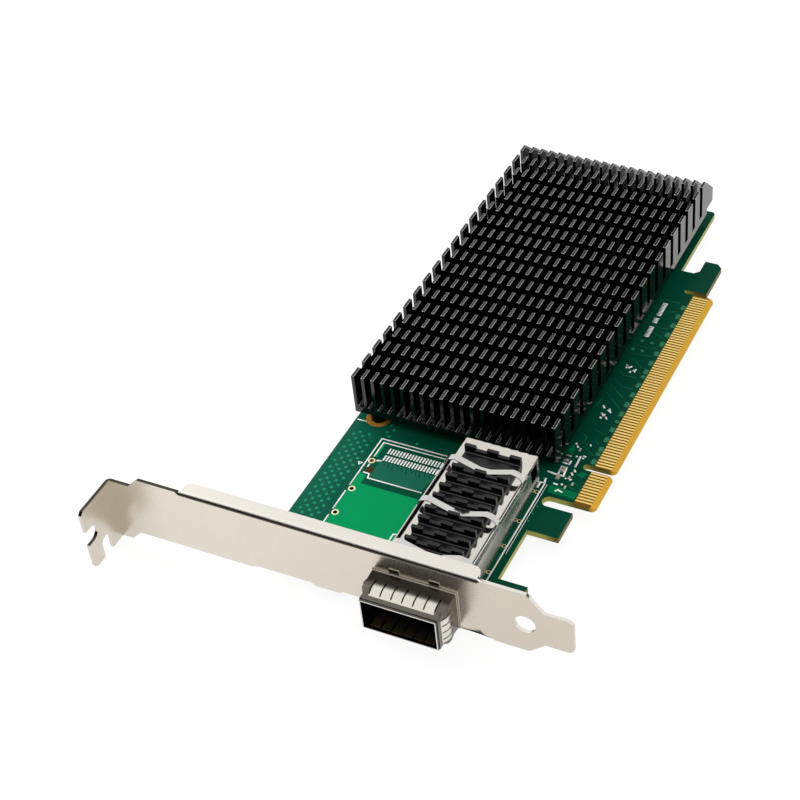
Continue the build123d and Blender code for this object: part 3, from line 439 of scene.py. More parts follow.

# %% [markdown]
# The bracket is nickel-plated steel, pale and satin. In the photograph its shade drifts towards
# the foot and over the screw tab, and the upward edges past the flange and the long fold look
# dark. These tones are painted by place too: painted shade towards the foot and over the tab,
# painted dark reflections on those edges and the fold, and painted light on the flange's top.
# Moulded plastic, solder and fired ceramic are plain even finishes.

# %% The other finishes
bracket_steel = finish_of(
    "nickel_plated_bracket_steel", "#e4ddd1", "#dbd4c7", (0.24, 0.32), 0.2, 0.001, METAL
)
bracket_shader = bracket_steel.node_tree.nodes["Principled BSDF"]
bracket_plate = bracket_shader.inputs["Base Color"].links[0].from_socket
bracket_place = axes_of(bracket_steel, *PLACE)
bracket_along = bracket_place["Y"]
bracket_up = axes_of(bracket_steel, *FACING)["Z"]
FOOT_SHADE_FROM_MM, FOOT_SHADE_TO_MM = 76.0, -6.0
NECK_FROM_MM, TAB_FROM_MM, TAB_BEFORE_MM, TAB_AFTER_MM = 86.5, 98.0, 6.0, 4.0
TURN_MIDDLE, TURN_HALF_RANGE = 0.42, 0.26
# Painted shade: the plate darkens towards the foot and over the screw tab.
painted_foot_shade = ramp(bracket_steel, bracket_along, FOOT_SHADE_FROM_MM * MM, FOOT_SHADE_TO_MM * MM)
bracket_shade = blend(bracket_steel, painted_foot_shade, bracket_plate, linear("#cfc6b8"))
painted_tab_shade = ramp(
    bracket_steel, bracket_along, (TAB_FROM_MM - TAB_BEFORE_MM) * MM, (TAB_FROM_MM + TAB_AFTER_MM) * MM
)
tab_shade = blend(bracket_steel, painted_tab_shade, bracket_shade, linear("#d2cabd"))
# Painted dark reflection on upward edges past the flange, and painted light on the flange's top.
past_flange = arithmetic(bracket_steel, "GREATER_THAN", bracket_along, NECK_FROM_MM * MM)
faces_up = arithmetic(bracket_steel, "GREATER_THAN", bracket_up, 0.5)
up_shade = blend(bracket_steel, past_flange, linear("#e4e0d7"), linear("#3f3b34"))
upward_shade = blend(bracket_steel, faces_up, tab_shade, up_shade)
OUTER_BEND_MM = 1.15
bend_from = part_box("bracket")[1].z - OUTER_BEND_MM * MM
# Painted dark reflection along the long fold.
turns_up = arithmetic(bracket_steel, "COMPARE", bracket_up, TURN_MIDDLE, TURN_HALF_RANGE)
in_top = arithmetic(bracket_steel, "GREATER_THAN", bracket_place["Z"], bend_from)
in_bend = arithmetic(bracket_steel, "MULTIPLY", turns_up, in_top)
folded_shade = blend(bracket_steel, in_bend, upward_shade, linear("#5a554c"))
connect(bracket_steel, bracket_shader, {"Base Color": folded_shade})
black_plastic = finish_of(
    "moulded_black_plastic", "#131416", "#0c0d0e", (0.35, 0.5), 0.1, 0.004, {"IOR": 1.55}
)
chip_laminate = finish_of(
    "chip_carrier_laminate", "#1f5b3c", "#174a31", (0.3, 0.4), 0.2, 0.002, {"IOR": 1.5}
)
nickel_lid = finish_of("nickel_plated_lid", "#cfcdc8", "#bdbbb6", (0.25, 0.35), 0.2, 0.002, METAL)
gap_pad = finish_of("silicone_gap_pad", "#9aa5ab", "#8793a0", (0.6, 0.75), 0.3, 0.01, {"IOR": 1.41})
solder = finish_of("reflowed_solder", "#f2f2f0", "#dededc", (0.3, 0.4), 0.2, 0.003, METAL)
ceramic = finish_of("fired_ceramic", "#b59a78", "#a08463", (0.45, 0.6), 0.1, 0.003, {"IOR": 1.6})
resistor_glass = finish_of("resistor_glaze", "#26282a", "#17181a", (0.2, 0.35), 0.2, 0.002, {"IOR": 1.5})
print(len(bpy.data.materials), "materials")

# %% [markdown]
# Some CAD nodes are already true to the eye, such as the flat gold pads. They stay as they
# are and only take a finish.

# %% Dress the nodes that stay


def dress(node_name, material):
    """Gives a CAD node its finish."""
    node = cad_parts[node_name]
    node.data.materials.clear()
    node.data.materials.append(material)


dress("circuit_board", solder_mask)
dress("fingers_component_side", hard_gold)
dress("fingers_solder_side", hard_gold)
dress("spare_port_pads", hot_tin)
dress("chip_ball_field", solder)
dress("chip_substrate", chip_laminate)
dress("chip_lid", nickel_lid)
dress("thermal_pad", gap_pad)

# %% [markdown]
# The main heatsink looks like an extrusion that was sawn across: long channels with rounded
# bottoms, and cuts that leave rows of pins. A copy of the CAD node gets its channels rounded with
# a bevel on just those edges. A second bevel breaks the edges round the top of every pin and
# carries the thin light outline that the photograph shows there, as a painted highlight. The
# last modifier weighs the normals by area, so the flat tops stay flat beside their rounded rims.

# %% The main heatsink
CHANNEL_RADIUS_MM = 0.85
sink = merged_copy("main_heatsink")
sink_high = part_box("main_heatsink")[1]
upward_faces = [face for face in sink.faces if face.normal.z > 0.9]
channel_z = min(round(face.calc_center_median().z / MM, 2) for face in upward_faces)
channel_edges = [
    edge
    for edge in sink.edges
    if all(abs(v.co.z / MM - channel_z) < 0.01 for v in edge.verts)
    and abs((edge.verts[1].co - edge.verts[0].co).normalized().x) > 0.99
    and edge.calc_length() > 50 * MM
    and len(edge.link_faces) == 2
    and not edge.is_convex
]
round_edges(sink, channel_edges, CHANNEL_RADIUS_MM, 5)
print(len(channel_edges), "channel edges rounded at height", channel_z, "mm")
PIN_RIM_MM = 0.16
pin_edges = [edge for edge in sink.edges if all(sink_high.z - v.co.z < 0.01 * MM for v in edge.verts)]
round_edges(sink, pin_edges, PIN_RIM_MM, 2)
print(len(pin_edges), "edges broken round the tops of the pins")
main_heatsink = make_piece("main_heatsink_dressed", sink, black_anodised)
keep_flat(main_heatsink)
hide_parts("main_heatsink")

# %% [markdown]
# Sheet metal is folded, so its corners have a bend radius outside and a smaller one inside,
# and its cut edges are only slightly broken. The fold lines are found by where they lie, and
# bevelled with several segments, which a modifier over all edges could not tell apart.

# %% Helpers for folds


def edges_on(bm, axis, **fixed):
    """The edges along an axis (x, y or z) whose other two coordinates, in mm, are as given."""
    found = []
    for edge in bm.edges:
        along = (edge.verts[1].co - edge.verts[0].co).normalized()
        if abs(getattr(along, axis)) < 0.99:
            continue
        places = [(getattr(v.co, name) / MM, value) for v in edge.verts for name, value in fixed.items()]
        if all(abs(place - value) < 0.03 for place, value in places):
            found.append(edge)
    return found


def cut_across(bm, axis, place_mm):
    """Cuts every face of a bmesh where it crosses a plane, so that a fold can stop there."""
    normal = Vector([1.0 if name == axis else 0.0 for name in "xyz"])
    bmesh.ops.bisect_plane(
        bm, geom=bm.verts[:] + bm.edges[:] + bm.faces[:], plane_co=normal * place_mm * MM, plane_no=normal
    )


# %% [markdown]
# The bracket closes the slot in the computer's rear wall. Its long flange, screw tab and
# board tabs are folded from the same 0.86 mm sheet as its face.

# %% The bracket
SHEET_MM = 0.86
FLANGE_START_MM, FLANGE_END_MM = 9.95, 86.2
BOARD_TABS_MM = ((7.2, 15.3), (36.4, 45.2), (53.5, 68.2))
bracket_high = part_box("bracket")[1] / MM
face_x = -57.15
face_low_z = bracket_high.z - 18.42
bracket = merged_copy("bracket")
for place in (FLANGE_START_MM, FLANGE_END_MM, *[y for span in BOARD_TABS_MM for y in span]):
    cut_across(bracket, "y", place)
outer_folds = [
    edge
    for edge in edges_on(bracket, "y", x=face_x, z=bracket_high.z)
    if min(v.co.y / MM for v in edge.verts) > FLANGE_START_MM - 0.05
    and max(v.co.y / MM for v in edge.verts) < FLANGE_END_MM + 0.05
]
for edge in edges_on(bracket, "y", x=face_x, z=face_low_z):
    start, end = sorted(v.co.y / MM for v in edge.verts)
    if any(low - 0.05 < start and end < high + 0.05 for low, high in BOARD_TABS_MM):
        outer_folds.append(edge)
outer_folds += edges_on(bracket, "z", x=face_x + SHEET_MM, y=bracket_high.y)
print(len(outer_folds), "fold edges on the bracket")
round_edges(bracket, [edge for edge in outer_folds if edge.is_convex], OUTER_BEND_MM, 6)
bracket_piece = make_piece("bracket_dressed", bracket, bracket_steel, 0.11, 2)
keep_flat(bracket_piece)
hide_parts("bracket")

# %% [markdown]
# The cage that takes the optical module is thin plated sheet, folded into a box. The spring
# clip and the collar are spring sheet, with edges broken as finely.

# %% The cage, its collar and the clip
cage = merged_copy("port_cage")
cage_low, cage_high = (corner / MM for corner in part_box("port_cage"))
cage_folds = [
    edge
    for edge in edges_on(cage, "x", z=cage_high.z)
    if edge.is_convex and min(abs(edge.verts[0].co.y / MM - y) for y in (cage_low.y, cage_high.y)) < 0.03
]
round_edges(cage, cage_folds, 0.28, 3)
cage_piece = make_piece("port_cage_dressed", cage, nickel_steel, 0.05, 1)
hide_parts("port_cage")

collar = merged_copy("shielding_collar")
COLLAR_CORNER_MM = 0.15
collar_corners = [
    edge
    for edge in collar.edges
    if edge.is_convex
    and abs((edge.verts[1].co - edge.verts[0].co).normalized().x) > 0.8
    and all(min(abs(v.co.y / MM - y) for y in (cage_low.y, cage_high.y)) < 1.2 for v in edge.verts)
    and all(min(abs(v.co.z / MM - z) for z in (0, cage_high.z)) < 1.2 for v in edge.verts)
]
round_edges(collar, collar_corners, COLLAR_CORNER_MM, 2)
print(len(collar_corners), "corner edges rounded on the collar")
collar_piece = make_piece("shielding_collar_dressed", collar, collar_steel, 0.05, 2)
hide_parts("shielding_collar")

clip = merged_copy("heatsink_clip")
clip_piece = make_piece("heatsink_clip_dressed", clip, spring_steel, 0.05, 1)
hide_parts("heatsink_clip")

rider = merged_copy("cage_heatsink")
RIDER_FLOOR_MM, RIDER_FILLET_MM = 9.7, 0.25
ridge_feet = [
    edge
    for edge in edges_on(rider, "y", z=RIDER_FLOOR_MM)
    if edge.calc_length() > 10 * MM and len(edge.link_faces) == 2 and not edge.is_convex
]
round_edges(rider, ridge_feet, RIDER_FILLET_MM, 3)
print(len(ridge_feet), "ridge feet rounded on the small heatsink")
rider_piece = make_piece("cage_heatsink_dressed", rider, dyed_casting, 0.08, 2)
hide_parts("cage_heatsink")

# %% [markdown]
# The host connector is moulded plastic with two rows of gold-plated contacts in its slot. Each
# contact is a plain bar that stands out from the wall of the slot, repeated along the row. The
# contacts share the gold of the card's fingers and so carry its bands of painted shade too.

# %% The host connector and its contacts
CONTACT_PITCH_MM, CONTACT_WIDTH_MM, CONTACT_COUNT = 0.8, 0.4, 19
host = merged_copy("host_connector")
host_low, host_high = (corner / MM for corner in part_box("host_connector"))
host_piece = make_piece("host_connector_dressed", host, black_plastic, 0.12, 2)
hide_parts("host_connector")


def add_box(bm, low, high):
    """Adds a box between two corners, in mm."""
    size = [h - l for l, h in zip(low, high)]
    centre = Vector([(l + h) / 2 * MM for l, h in zip(low, high)])
    stretch = Matrix.Diagonal([*[s * MM for s in size], 1.0])
    bmesh.ops.create_cube(bm, size=1.0, matrix=Matrix.Translation(centre) @ stretch)


slot_z, slot_height = 4.3, 1.5
contacts = bmesh.new()
middle_y = (host_low.y + host_high.y) / 2
for number in range(CONTACT_COUNT):
    y = middle_y + (number - (CONTACT_COUNT - 1) / 2) * CONTACT_PITCH_MM
    for side in (-1, 1):
        wall = slot_z + side * slot_height / 2
        tip = slot_z + side * (slot_height / 2 - 0.35)
        low_z, high_z = sorted((wall + side * 0.05, tip))
        add_box(
            contacts,
            (host_low.x + 0.6, y - CONTACT_WIDTH_MM / 2, low_z),
            (host_low.x + 7.6, y + CONTACT_WIDTH_MM / 2, high_z),
        )
make_piece("host_contacts", contacts, hard_gold, 0.04, 1)

# %% [markdown]
# Inside the mouth, low bowed springs lie across the floor, as such ports have them to earth a
# module. Each is a flat grid bent by lifting its points along an arch, then thickened.

# %% Earthing springs on the floor of the port
SPRING_COUNT, SPRING_PITCH_MM, SPRING_WIDTH_MM = 6, 2.7, 2.3
SPRING_FROM_MM, SPRING_TO_MM, SPRING_RISE_MM, SPRING_SHEET_MM = -65.4, -60.6, 0.18, 0.08
PORT_FLOOR_MM = 0.3
earthing = bmesh.new()
for number in range(SPRING_COUNT):
    y = cage_low.y / 2 + cage_high.y / 2 + (number - (SPRING_COUNT - 1) / 2) * SPRING_PITCH_MM
    middle_x, foot_z = (SPRING_FROM_MM + SPRING_TO_MM) / 2, PORT_FLOOR_MM + SPRING_SHEET_MM
    centre = Vector((middle_x * MM, y * MM, foot_z * MM))
    half = Matrix.Diagonal(((SPRING_TO_MM - SPRING_FROM_MM) / 2 * MM, SPRING_WIDTH_MM / 2 * MM, 1.0, 1.0))
    made = bmesh.ops.create_grid(
        earthing, x_segments=8, y_segments=1, size=1.0, matrix=Matrix.Translation(centre) @ half
    )
    for v in made["verts"]:
        share = (v.co.x / MM - SPRING_FROM_MM) / (SPRING_TO_MM - SPRING_FROM_MM)
        v.co.z += SPRING_RISE_MM * MM * math.sin(math.pi * share)
bmesh.ops.solidify(earthing, geom=earthing.faces[:], thickness=SPRING_SHEET_MM * MM)
copper_alloy = finish_of("bare_beryllium_copper", "#7d6b4a", "#4c4230", (0.3, 0.45), 0.3, 0.002, METAL)
make_drawn("port_earthing_springs", earthing, copper_alloy)

# %% [markdown]
# Round fasteners. A pan head is a profile turned about its axis, and its cross recess is a
# cross bridged to the rim of the top and pushed down, narrowing as the driver's tip does.

# %% Screws and spacers
CROSS_WIDTH_MM = 0.5


def add_pan_head(bm, x, y, seat_z, direction, radius, height, shank_radius, shank_end_z):
    """Adds a pan-head screw with a cross recess. Its head stands on seat_z towards direction."""
    profile = [
        (shank_radius, shank_end_z),
        (shank_radius, seat_z),
        (radius, seat_z),
        (radius, seat_z + direction * height * 0.45),
        (radius * 0.93, seat_z + direction * height * 0.75),
        (radius * 0.78, seat_z + direction * height * 0.93),
        (radius * 0.6, seat_z + direction * height),
    ]
    verts = [bm.verts.new((x * MM + r * MM, y * MM, z * MM)) for r, z in profile]
    edges = [bm.edges.new(pair) for pair in zip(verts, verts[1:])]
    bmesh.ops.spin(
        bm,
        geom=verts + edges,
        cent=(x * MM, y * MM, 0),
        axis=(0, 0, 1),
        angle=math.tau,
        steps=24,
        use_merge=True,
        use_duplicate=False,
    )
    top_z = (seat_z + direction * height) * MM
    middle = Vector((x * MM, y * MM))
    near = [v for v in bm.verts if (v.co.xy - middle).length < (radius + 0.01) * MM]
    rim = [
        edge
        for v in near
        for edge in v.link_edges
        if edge.is_boundary and all(abs(u.co.z - top_z) < 1e-7 for u in edge.verts)
    ]
    arm, half = radius * 0.5 * MM, CROSS_WIDTH_MM / 2 * MM
    corner = [(half, half), (half, arm), (-half, arm)]
    outline = []
    for quarter in range(4):
        turn = Matrix.Rotation(quarter * math.pi / 2, 2)
        outline += [turn @ Vector(point) for point in corner]
    cross = [bm.verts.new((x * MM + p.x, y * MM + p.y, top_z)) for p in outline]
    cross_edges = [bm.edges.new((a, b)) for a, b in zip(cross, cross[1:] + cross[:1])]
    bmesh.ops.bridge_loops(bm, edges=list(set(rim)) + cross_edges)
    floor = bm.faces.new(cross)
    sunk = bmesh.ops.extrude_face_region(bm, geom=[floor])
    bottom = [v for v in sunk["geom"] if isinstance(v, bmesh.types.BMVert)]
    bmesh.ops.translate(bm, verts=bottom, vec=(0, 0, -direction * height * 0.6 * MM))
    bmesh.ops.scale(
        bm, verts=bottom, vec=(0.6, 0.6, 1), space=Matrix.Translation((-x * MM, -y * MM, 0))
    )
    if floor.is_valid:
        bm.faces.remove(floor)
    end_z = shank_end_z * MM
    tail = [
        edge
        for v in near
        if v.is_valid
        for edge in v.link_edges
        if edge.is_boundary and all(abs(u.co.z - end_z) < 1e-7 for u in edge.verts)
    ]
    bmesh.ops.contextual_create(bm, geom=list(set(tail)))


screw_low, screw_high = (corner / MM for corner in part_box("bracket_screws"))
HEAD_RADIUS_MM, SHANK_RADIUS_MM = 2.5, 1.45
bracket_screws = bmesh.new()
for y in (screw_low.y + HEAD_RADIUS_MM, screw_high.y - HEAD_RADIUS_MM):
    x = screw_low.x + HEAD_RADIUS_MM
    add_pan_head(
        bracket_screws, x, y, 0.0, 1, HEAD_RADIUS_MM, screw_high.z, SHANK_RADIUS_MM, screw_low.z
    )
bmesh.ops.remove_doubles(bracket_screws, verts=bracket_screws.verts, dist=0.0005 * MM)
piece = make_drawn("bracket_screws_dressed", bracket_screws, zinc_steel, 0.06, 2)
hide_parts("bracket_screws")

sleeve_low, sleeve_high = (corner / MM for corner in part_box("heatsink_standoffs"))
SLEEVE_RADIUS_MM = 2.0
SINK_HEAD = {"radius": 2.4, "height": 1.5, "shank_radius": 1.25, "shank_end_z": 3.8}
sink_screw_places = [
    (sleeve_low.x + SLEEVE_RADIUS_MM, sleeve_high.y - SLEEVE_RADIUS_MM),
    (sleeve_high.x - SLEEVE_RADIUS_MM, sleeve_low.y + SLEEVE_RADIUS_MM),
]
sink_screws = bmesh.new()
board_under_mm = board_low.z / MM
for x, y in sink_screw_places:
    add_pan_head(sink_screws, x, y, board_under_mm, -1, **SINK_HEAD)
bmesh.ops.remove_doubles(sink_screws, verts=sink_screws.verts, dist=0.0005 * MM)
piece = make_drawn("heatsink_screws_dressed", sink_screws, zinc_steel, 0.05, 2)
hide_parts("heatsink_screws")

sleeves = merged_copy("heatsink_standoffs")
SHADED = {"IOR": 1.45, "Specular IOR Level": 0.1}
sleeve_black = finish_of("black_anodised_spacer", "#050505", "#020202", (0.45, 0.55), 0.2, 0.003, SHADED)
piece = make_piece("heatsink_standoffs_dressed", sleeves, sleeve_black, 0.15, 2)
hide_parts("heatsink_standoffs")

# %% [markdown]
# Surface-mount parts: a ceramic or glazed body between two tinned ends. The body is the CAD
# node with soft edges, and each end cap is a slightly larger box drawn over it.

# %% Resistor, capacitors and the smallest chips
END_CAP_SHARE, SMALL_CAP_SHARE = 0.24, 0.36
CAP_PROUD_MM = 0.02


def islands(node_name):
    """The box of each separate solid in a CAD node, in mm."""
    bm = merged_copy(node_name)
    left = set(bm.verts)
    boxes = []
    while left:
        queue = [left.pop()]
        solid = list(queue)
        while queue:
            for edge in queue.pop().link_edges:
                for v in edge.verts:
                    if v in left:
                        left.remove(v)
                        queue.append(v)
                        solid.append(v)
        places = [v.co / MM for v in solid]
        low = Vector([min(p[i] for p in places) for i in range(3)])
        high = Vector([max(p[i] for p in places) for i in range(3)])
        boxes.append((low, high))
    bm.free()
    return sorted(boxes, key=lambda box: tuple(box[0]))


end_caps = bmesh.new()
for node_name in ("chip_resistor", "ceramic_capacitors", "small_chip_parts"):
    share = SMALL_CAP_SHARE if node_name == "small_chip_parts" else END_CAP_SHARE
    for low, high in islands(node_name):
        cap = (high.x - low.x) * share
        for start, end in ((low.x - CAP_PROUD_MM, low.x + cap), (high.x - cap, high.x + CAP_PROUD_MM)):
            add_box(
                end_caps,
                (start, low.y - CAP_PROUD_MM, 0.0),
                (end, high.y + CAP_PROUD_MM, high.z + CAP_PROUD_MM),
            )
make_piece("chip_end_caps", end_caps, solder, 0.06, 2)
for node_name, material, slot in (
    ("chip_resistor", resistor_glass, "resistor"),
    ("ceramic_capacitors", ceramic, "capacitor"),
    ("small_chip_parts", ceramic, "capacitor"),
):
    piece = make_piece(node_name + "_dressed", merged_copy(node_name), material, 0.05, 2)
    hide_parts(node_name)

# %% [markdown]
# Some places under the lacquer look lighter than the rest: a lattice of dots, bars behind the
# fingers, thin traces, and an open field beside the cage, bright as if no copper lay under it.
# Each is a very thin raised patch, so it keeps its shape in the exported mesh.

# %% Patches, dots and traces under the lacquer
LACQUER_MM = 0.03
SINK_IN_MM = 0.01
MASK_GLOSS = {"IOR": 1.5, "Specular IOR Level": 0.03}


def mask_finish(name, light, dark):
    """Solder mask in two shades, as glossy as that of the board."""
    return finish_of(name, light, dark, (0.2, 0.26), 0.4, 0.002, MASK_GLOSS)


bare_mask = mask_finish("solder_mask_open_field", "#00975a", "#008d53")
edge_mask = mask_finish("solder_mask_narrow_field", "#007a4c", "#006b42")
pale_mask = mask_finish("solder_mask_on_copper_dot", "#2f8f70", "#128a5e")
pad_mask = mask_finish("solder_mask_on_copper_pad", "#3f8c68", "#2a7553")
trace_mask = mask_finish("solder_mask_on_trace", "#0f6b50", "#075840")
fan_mask = mask_finish("solder_mask_beside_trace", "#0c5240", "#064637")
deep_mask = mask_finish("solder_mask_plane_field", "#1f6a54", "#145c48")


def add_patch(bm, corners, height_mm=LACQUER_MM, holes=()):
    """Adds a thin plate with the given outline and round holes, its foot just inside the board."""
    verts = [bm.verts.new((x * MM, y * MM, -SINK_IN_MM * MM)) for x, y in corners]
    edges = [bm.edges.new(pair) for pair in zip(verts, verts[1:] + verts[:1])]
    for x, y, radius in holes:
        place = Matrix.Translation((x * MM, y * MM, -SINK_IN_MM * MM))
        rim = bmesh.ops.create_circle(bm, cap_ends=False, radius=radius * MM, segments=16, matrix=place)
        edges += list({edge for v in rim["verts"] for edge in v.link_edges})
    filled = bmesh.ops.triangle_fill(bm, edges=edges, use_beauty=True)
    faces = [part for part in filled["geom"] if isinstance(part, bmesh.types.BMFace)]
    raised = bmesh.ops.extrude_face_region(bm, geom=faces)
    top = [v for v in raised["geom"] if isinstance(v, bmesh.types.BMVert)]
    bmesh.ops.translate(bm, verts=top, vec=(0, 0, (SINK_IN_MM + height_mm) * MM))


def add_dot(bm, x, y, radius_mm, height_mm=LACQUER_MM, segments=10):
    """Adds a thin round pad."""
    corners = [
        (x + radius_mm * math.cos(math.tau * k / segments), y + radius_mm * math.sin(math.tau * k / segments))
        for k in range(segments)
    ]
    add_patch(bm, corners, height_mm)


SPARE_HOLE_RADIUS_MM = 0.55
spare_holes = [(-27.3, 58.1, SPARE_HOLE_RADIUS_MM), (-36.0, 58.1, SPARE_HOLE_RADIUS_MM)]
open_field = bmesh.new()
add_patch(
    open_field,
    [(-24.9, 41.5), (-24.9, 56.9), (-22.0, 56.9), (-21.3, 58.9), (-54.5, 58.9), (-54.5, 40.6), (-26.5, 40.6)],
    holes=spare_holes,
)
add_patch(open_field, [(-15.2, 57.4), (-10.1, 57.4), (-10.1, 58.0), (-15.2, 58.0)])
make_drawn("open_lacquer_field", open_field, bare_mask)

narrow_fields = bmesh.new()
add_patch(narrow_fields, [(-11.4, 6.0), (-9.2, 6.0), (-8.9, 13.5), (-11.3, 13.0)])
add_patch(narrow_fields, [(-4.0, 7.1), (-2.2, 6.1), (-1.9, 7.4), (-3.3, 9.0)])
add_patch(narrow_fields, [(2.7, 12.6), (5.0, 12.45), (6.4, 13.4), (4.4, 14.1)])
make_drawn("narrow_lacquer_fields", narrow_fields, edge_mask)

plane_field = bmesh.new()
add_patch(plane_field, [(-22.4, 42.0), (-16.1, 40.5), (-16.1, 56.0), (-22.4, 56.0)])
make_drawn("plane_lacquer_field", plane_field, deep_mask)

# %% [markdown]
# Two loops lay out what repeats. The dots stand in a lattice of five rows, every other one
# shifted by about half a step. The bars behind the fingers have cut corners and two lengths.

# %% Copper dots and the pads behind the fingers
DOT_RADIUS_MM = 0.46
ROW_STEP_MM, COLUMN_STEP_MM = 1.27, 2.54
FIRST_ROW_Y, EVEN_X, ODD_X = 66.82, -9.59, -8.35
dots = bmesh.new()
dot_count = 0
for row in range(5):
    for column in range(19):
        x = (EVEN_X if row % 2 == 0 else ODD_X) - column * COLUMN_STEP_MM
        if x < -55.0:
            continue
        add_dot(dots, x, FIRST_ROW_Y - row * ROW_STEP_MM, DOT_RADIUS_MM)
        dot_count += 1
LOOSE_DOTS = ((-9.82, 61.57), (-6.06, 59.08), (-4.76, 57.79), (-7.23, 57.91), (-3.45, 59.16), (-7.28, 50.1))
for x, y in LOOSE_DOTS:
    add_dot(dots, x, y, 0.42)
for x in (-7.24, -16.79, -19.4, -22.0):
    add_dot(dots, x, 13.34 if x < -10 else 15.65, 0.25)
make_drawn("copper_dots", dots, pale_mask)
print(dot_count, "dots in the lattice")

PAD_Y_MM, PAD_HALF_LENGTH_MM, PAD_HALF_WIDTH_MM, PAD_CHAMFER_MM = 6.5, 0.95, 0.6, 0.25
LONG_PAD_XS = (2.4, 7.2, 10.9, 14.8, 21.0, 24.8, 28.8, 32.8, 38.4, 42.0, 46.1, 50.3, 54.3, 58.4, 62.4, 66.4)
SHORT_PAD_XS = (5.3, 18.0, 36.3)
finger_pads = bmesh.new()
for x, half in [(x, PAD_HALF_LENGTH_MM) for x in LONG_PAD_XS] + [(x, 0.55) for x in SHORT_PAD_XS]:
    cut, top = PAD_CHAMFER_MM, PAD_HALF_WIDTH_MM
    quarter = [(half, -top + cut), (half, top - cut), (half - cut, top), (-half + cut, top)]
    outline = quarter + [(-u, -v) for u, v in quarter]
    add_patch(finger_pads, [(x + u, PAD_Y_MM + v) for u, v in outline])
for x, y in ((49.8, 11.8), (49.8, 9.1), (45.8, 12.9), (45.9, 10.4)):
    add_dot(finger_pads, x, y, 0.5)
make_drawn("finger_pads", finger_pads, pad_mask)

# %% [markdown]
# White printing marks outlines and places, and copper traces show faintly through the
# lacquer. Each line is a wire drawn on the board, pulled up into a band and given its width
# by a Solidify modifier, which mitres the corners.

# %% Printed lines and traces
SILK_WIDTH_MM, SILK_HEIGHT_MM = 0.36, 0.035
silk_ink = finish_of("screen_printed_ink", "#ffffff", "#fdfdfb", (0.5, 0.65), 0.2, 0.003, {"IOR": 1.5})


def add_stroke(bm, points, height_mm):
    """Adds a line as an upright band over the given points, in mm."""
    low = [bm.verts.new((x * MM, y * MM, -SINK_IN_MM * MM)) for x, y in points]
    edges = [bm.edges.new(pair) for pair in zip(low, low[1:])]
    raised = bmesh.ops.extrude_edge_only(bm, edges=edges)
    top = [v for v in raised["geom"] if isinstance(v, bmesh.types.BMVert)]
    bmesh.ops.translate(bm, verts=top, vec=(0, 0, (SINK_IN_MM + height_mm) * MM))


def make_lines(name, strokes, width_mm, material=silk_ink, height_mm=SILK_HEIGHT_MM):
    """Makes one piece of lines of the same width."""
    bm = bmesh.new()
    for points in strokes:
        add_stroke(bm, points, height_mm)
    piece = make_piece(name, bm, material)
    width = piece.modifiers.new("line_width", "SOLIDIFY")
    width.thickness = width_mm * MM
    width.offset = 0.0
    width.use_even_offset = True
    return piece


outline_strokes = [
    [(-26.3, 59.2), (-8.65, 59.2), (-8.65, 40.8)],
    [(-28.4, 59.2), (-35.1, 59.2)],
    [(-37.2, 59.2), (-54.0, 59.2)],
    [(-15.2, 58.15), (-9.75, 58.15), (-9.75, 40.8)],
    [(-17.9, 58.0), (-19.1, 58.0)],
    [(-21.1, 58.2), (-21.1, 56.5), (-22.6, 56.15), (-22.6, 41.4)],
    [(-24.4, 40.3), (-37.3, 40.3), (-37.6, 41.6), (-41.0, 41.6)],
    [(-43.3, 14.75), (-8.8, 14.75), (-8.75, 15.85), (-10.8, 15.85)],
    [(-4.3, 68.4), (-4.3, 65.4)],
]
make_lines("printed_outlines", outline_strokes, SILK_WIDTH_MM)
mark_strokes = [
    [(-4.58, 15.84), (-4.98, 12.9)],
    [(-1.64, 13.19), (-4.93, 12.99), (-4.84, 11.51), (-1.63, 11.92)],
    [(2.16, 13.75), (2.08, 12.36)],
    [(0.85, 11.76), (-0.77, 11.86)],
    [(-0.38, 13.71), (-0.56, 12.28)],
    [(3.13, 10.24), (-1.04, 10.05)],
    [(3.46, 9.7), (3.26, 8.94)],
    [(2.4, 9.27), (2.75, 9.6)],
    [(6.69, 13.16), (7.21, 12.77)],
    [(6.35, 12.5), (5.75, 11.95)],
    [(2.45, 11.3), (2.95, 11.0)],
    [(-7.98, 12.88), (-8.21, 11.61)],
    [(-5.35, 10.95), (-5.55, 10.5)],
    [(-5.75, 9.65), (-5.2, 9.25)],
    [(-7.4, 10.9), (-8.0, 10.6)],
    [(-10.52, 11.48), (-9.73, 10.97), (-10.26, 9.58)],
    [(-3.0, 10.2), (-3.9, 9.5)],
    [(-1.75, 10.0), (-2.6, 9.3)],
    [(-16.3, 56.9), (-15.9, 55.6)],
    [(7.9, 9.6), (7.3, 9.3)],
    [(-7.0, 15.2), (-8.9, 14.9)],
    [(39.3, 12.3), (38.4, 11.2), (39.2, 10.6)],
    [(38.0, 12.0), (38.9, 11.6)],
    [(36.7, 10.5), (37.2, 10.2)],
    [(38.5, 9.3), (37.5, 9.3), (37.9, 9.9)],
    [(22.6, 12.1), (21.6, 11.3)],
    [(21.9, 10.1), (20.8, 9.5), (21.2, 10.4)],
    [(19.8, 11.4), (18.9, 10.6), (19.6, 10.3)],
    [(18.7, 9.9), (17.9, 9.3)],
    [(18.2, 11.2), (17.7, 10.7)],
]
make_lines("printed_marks", mark_strokes, 0.48)
make_lines("printed_triangle", [[(-18.1, 61.0), (-19.0, 60.4), (-18.1, 59.85), (-18.1, 61.0)]], 0.24)

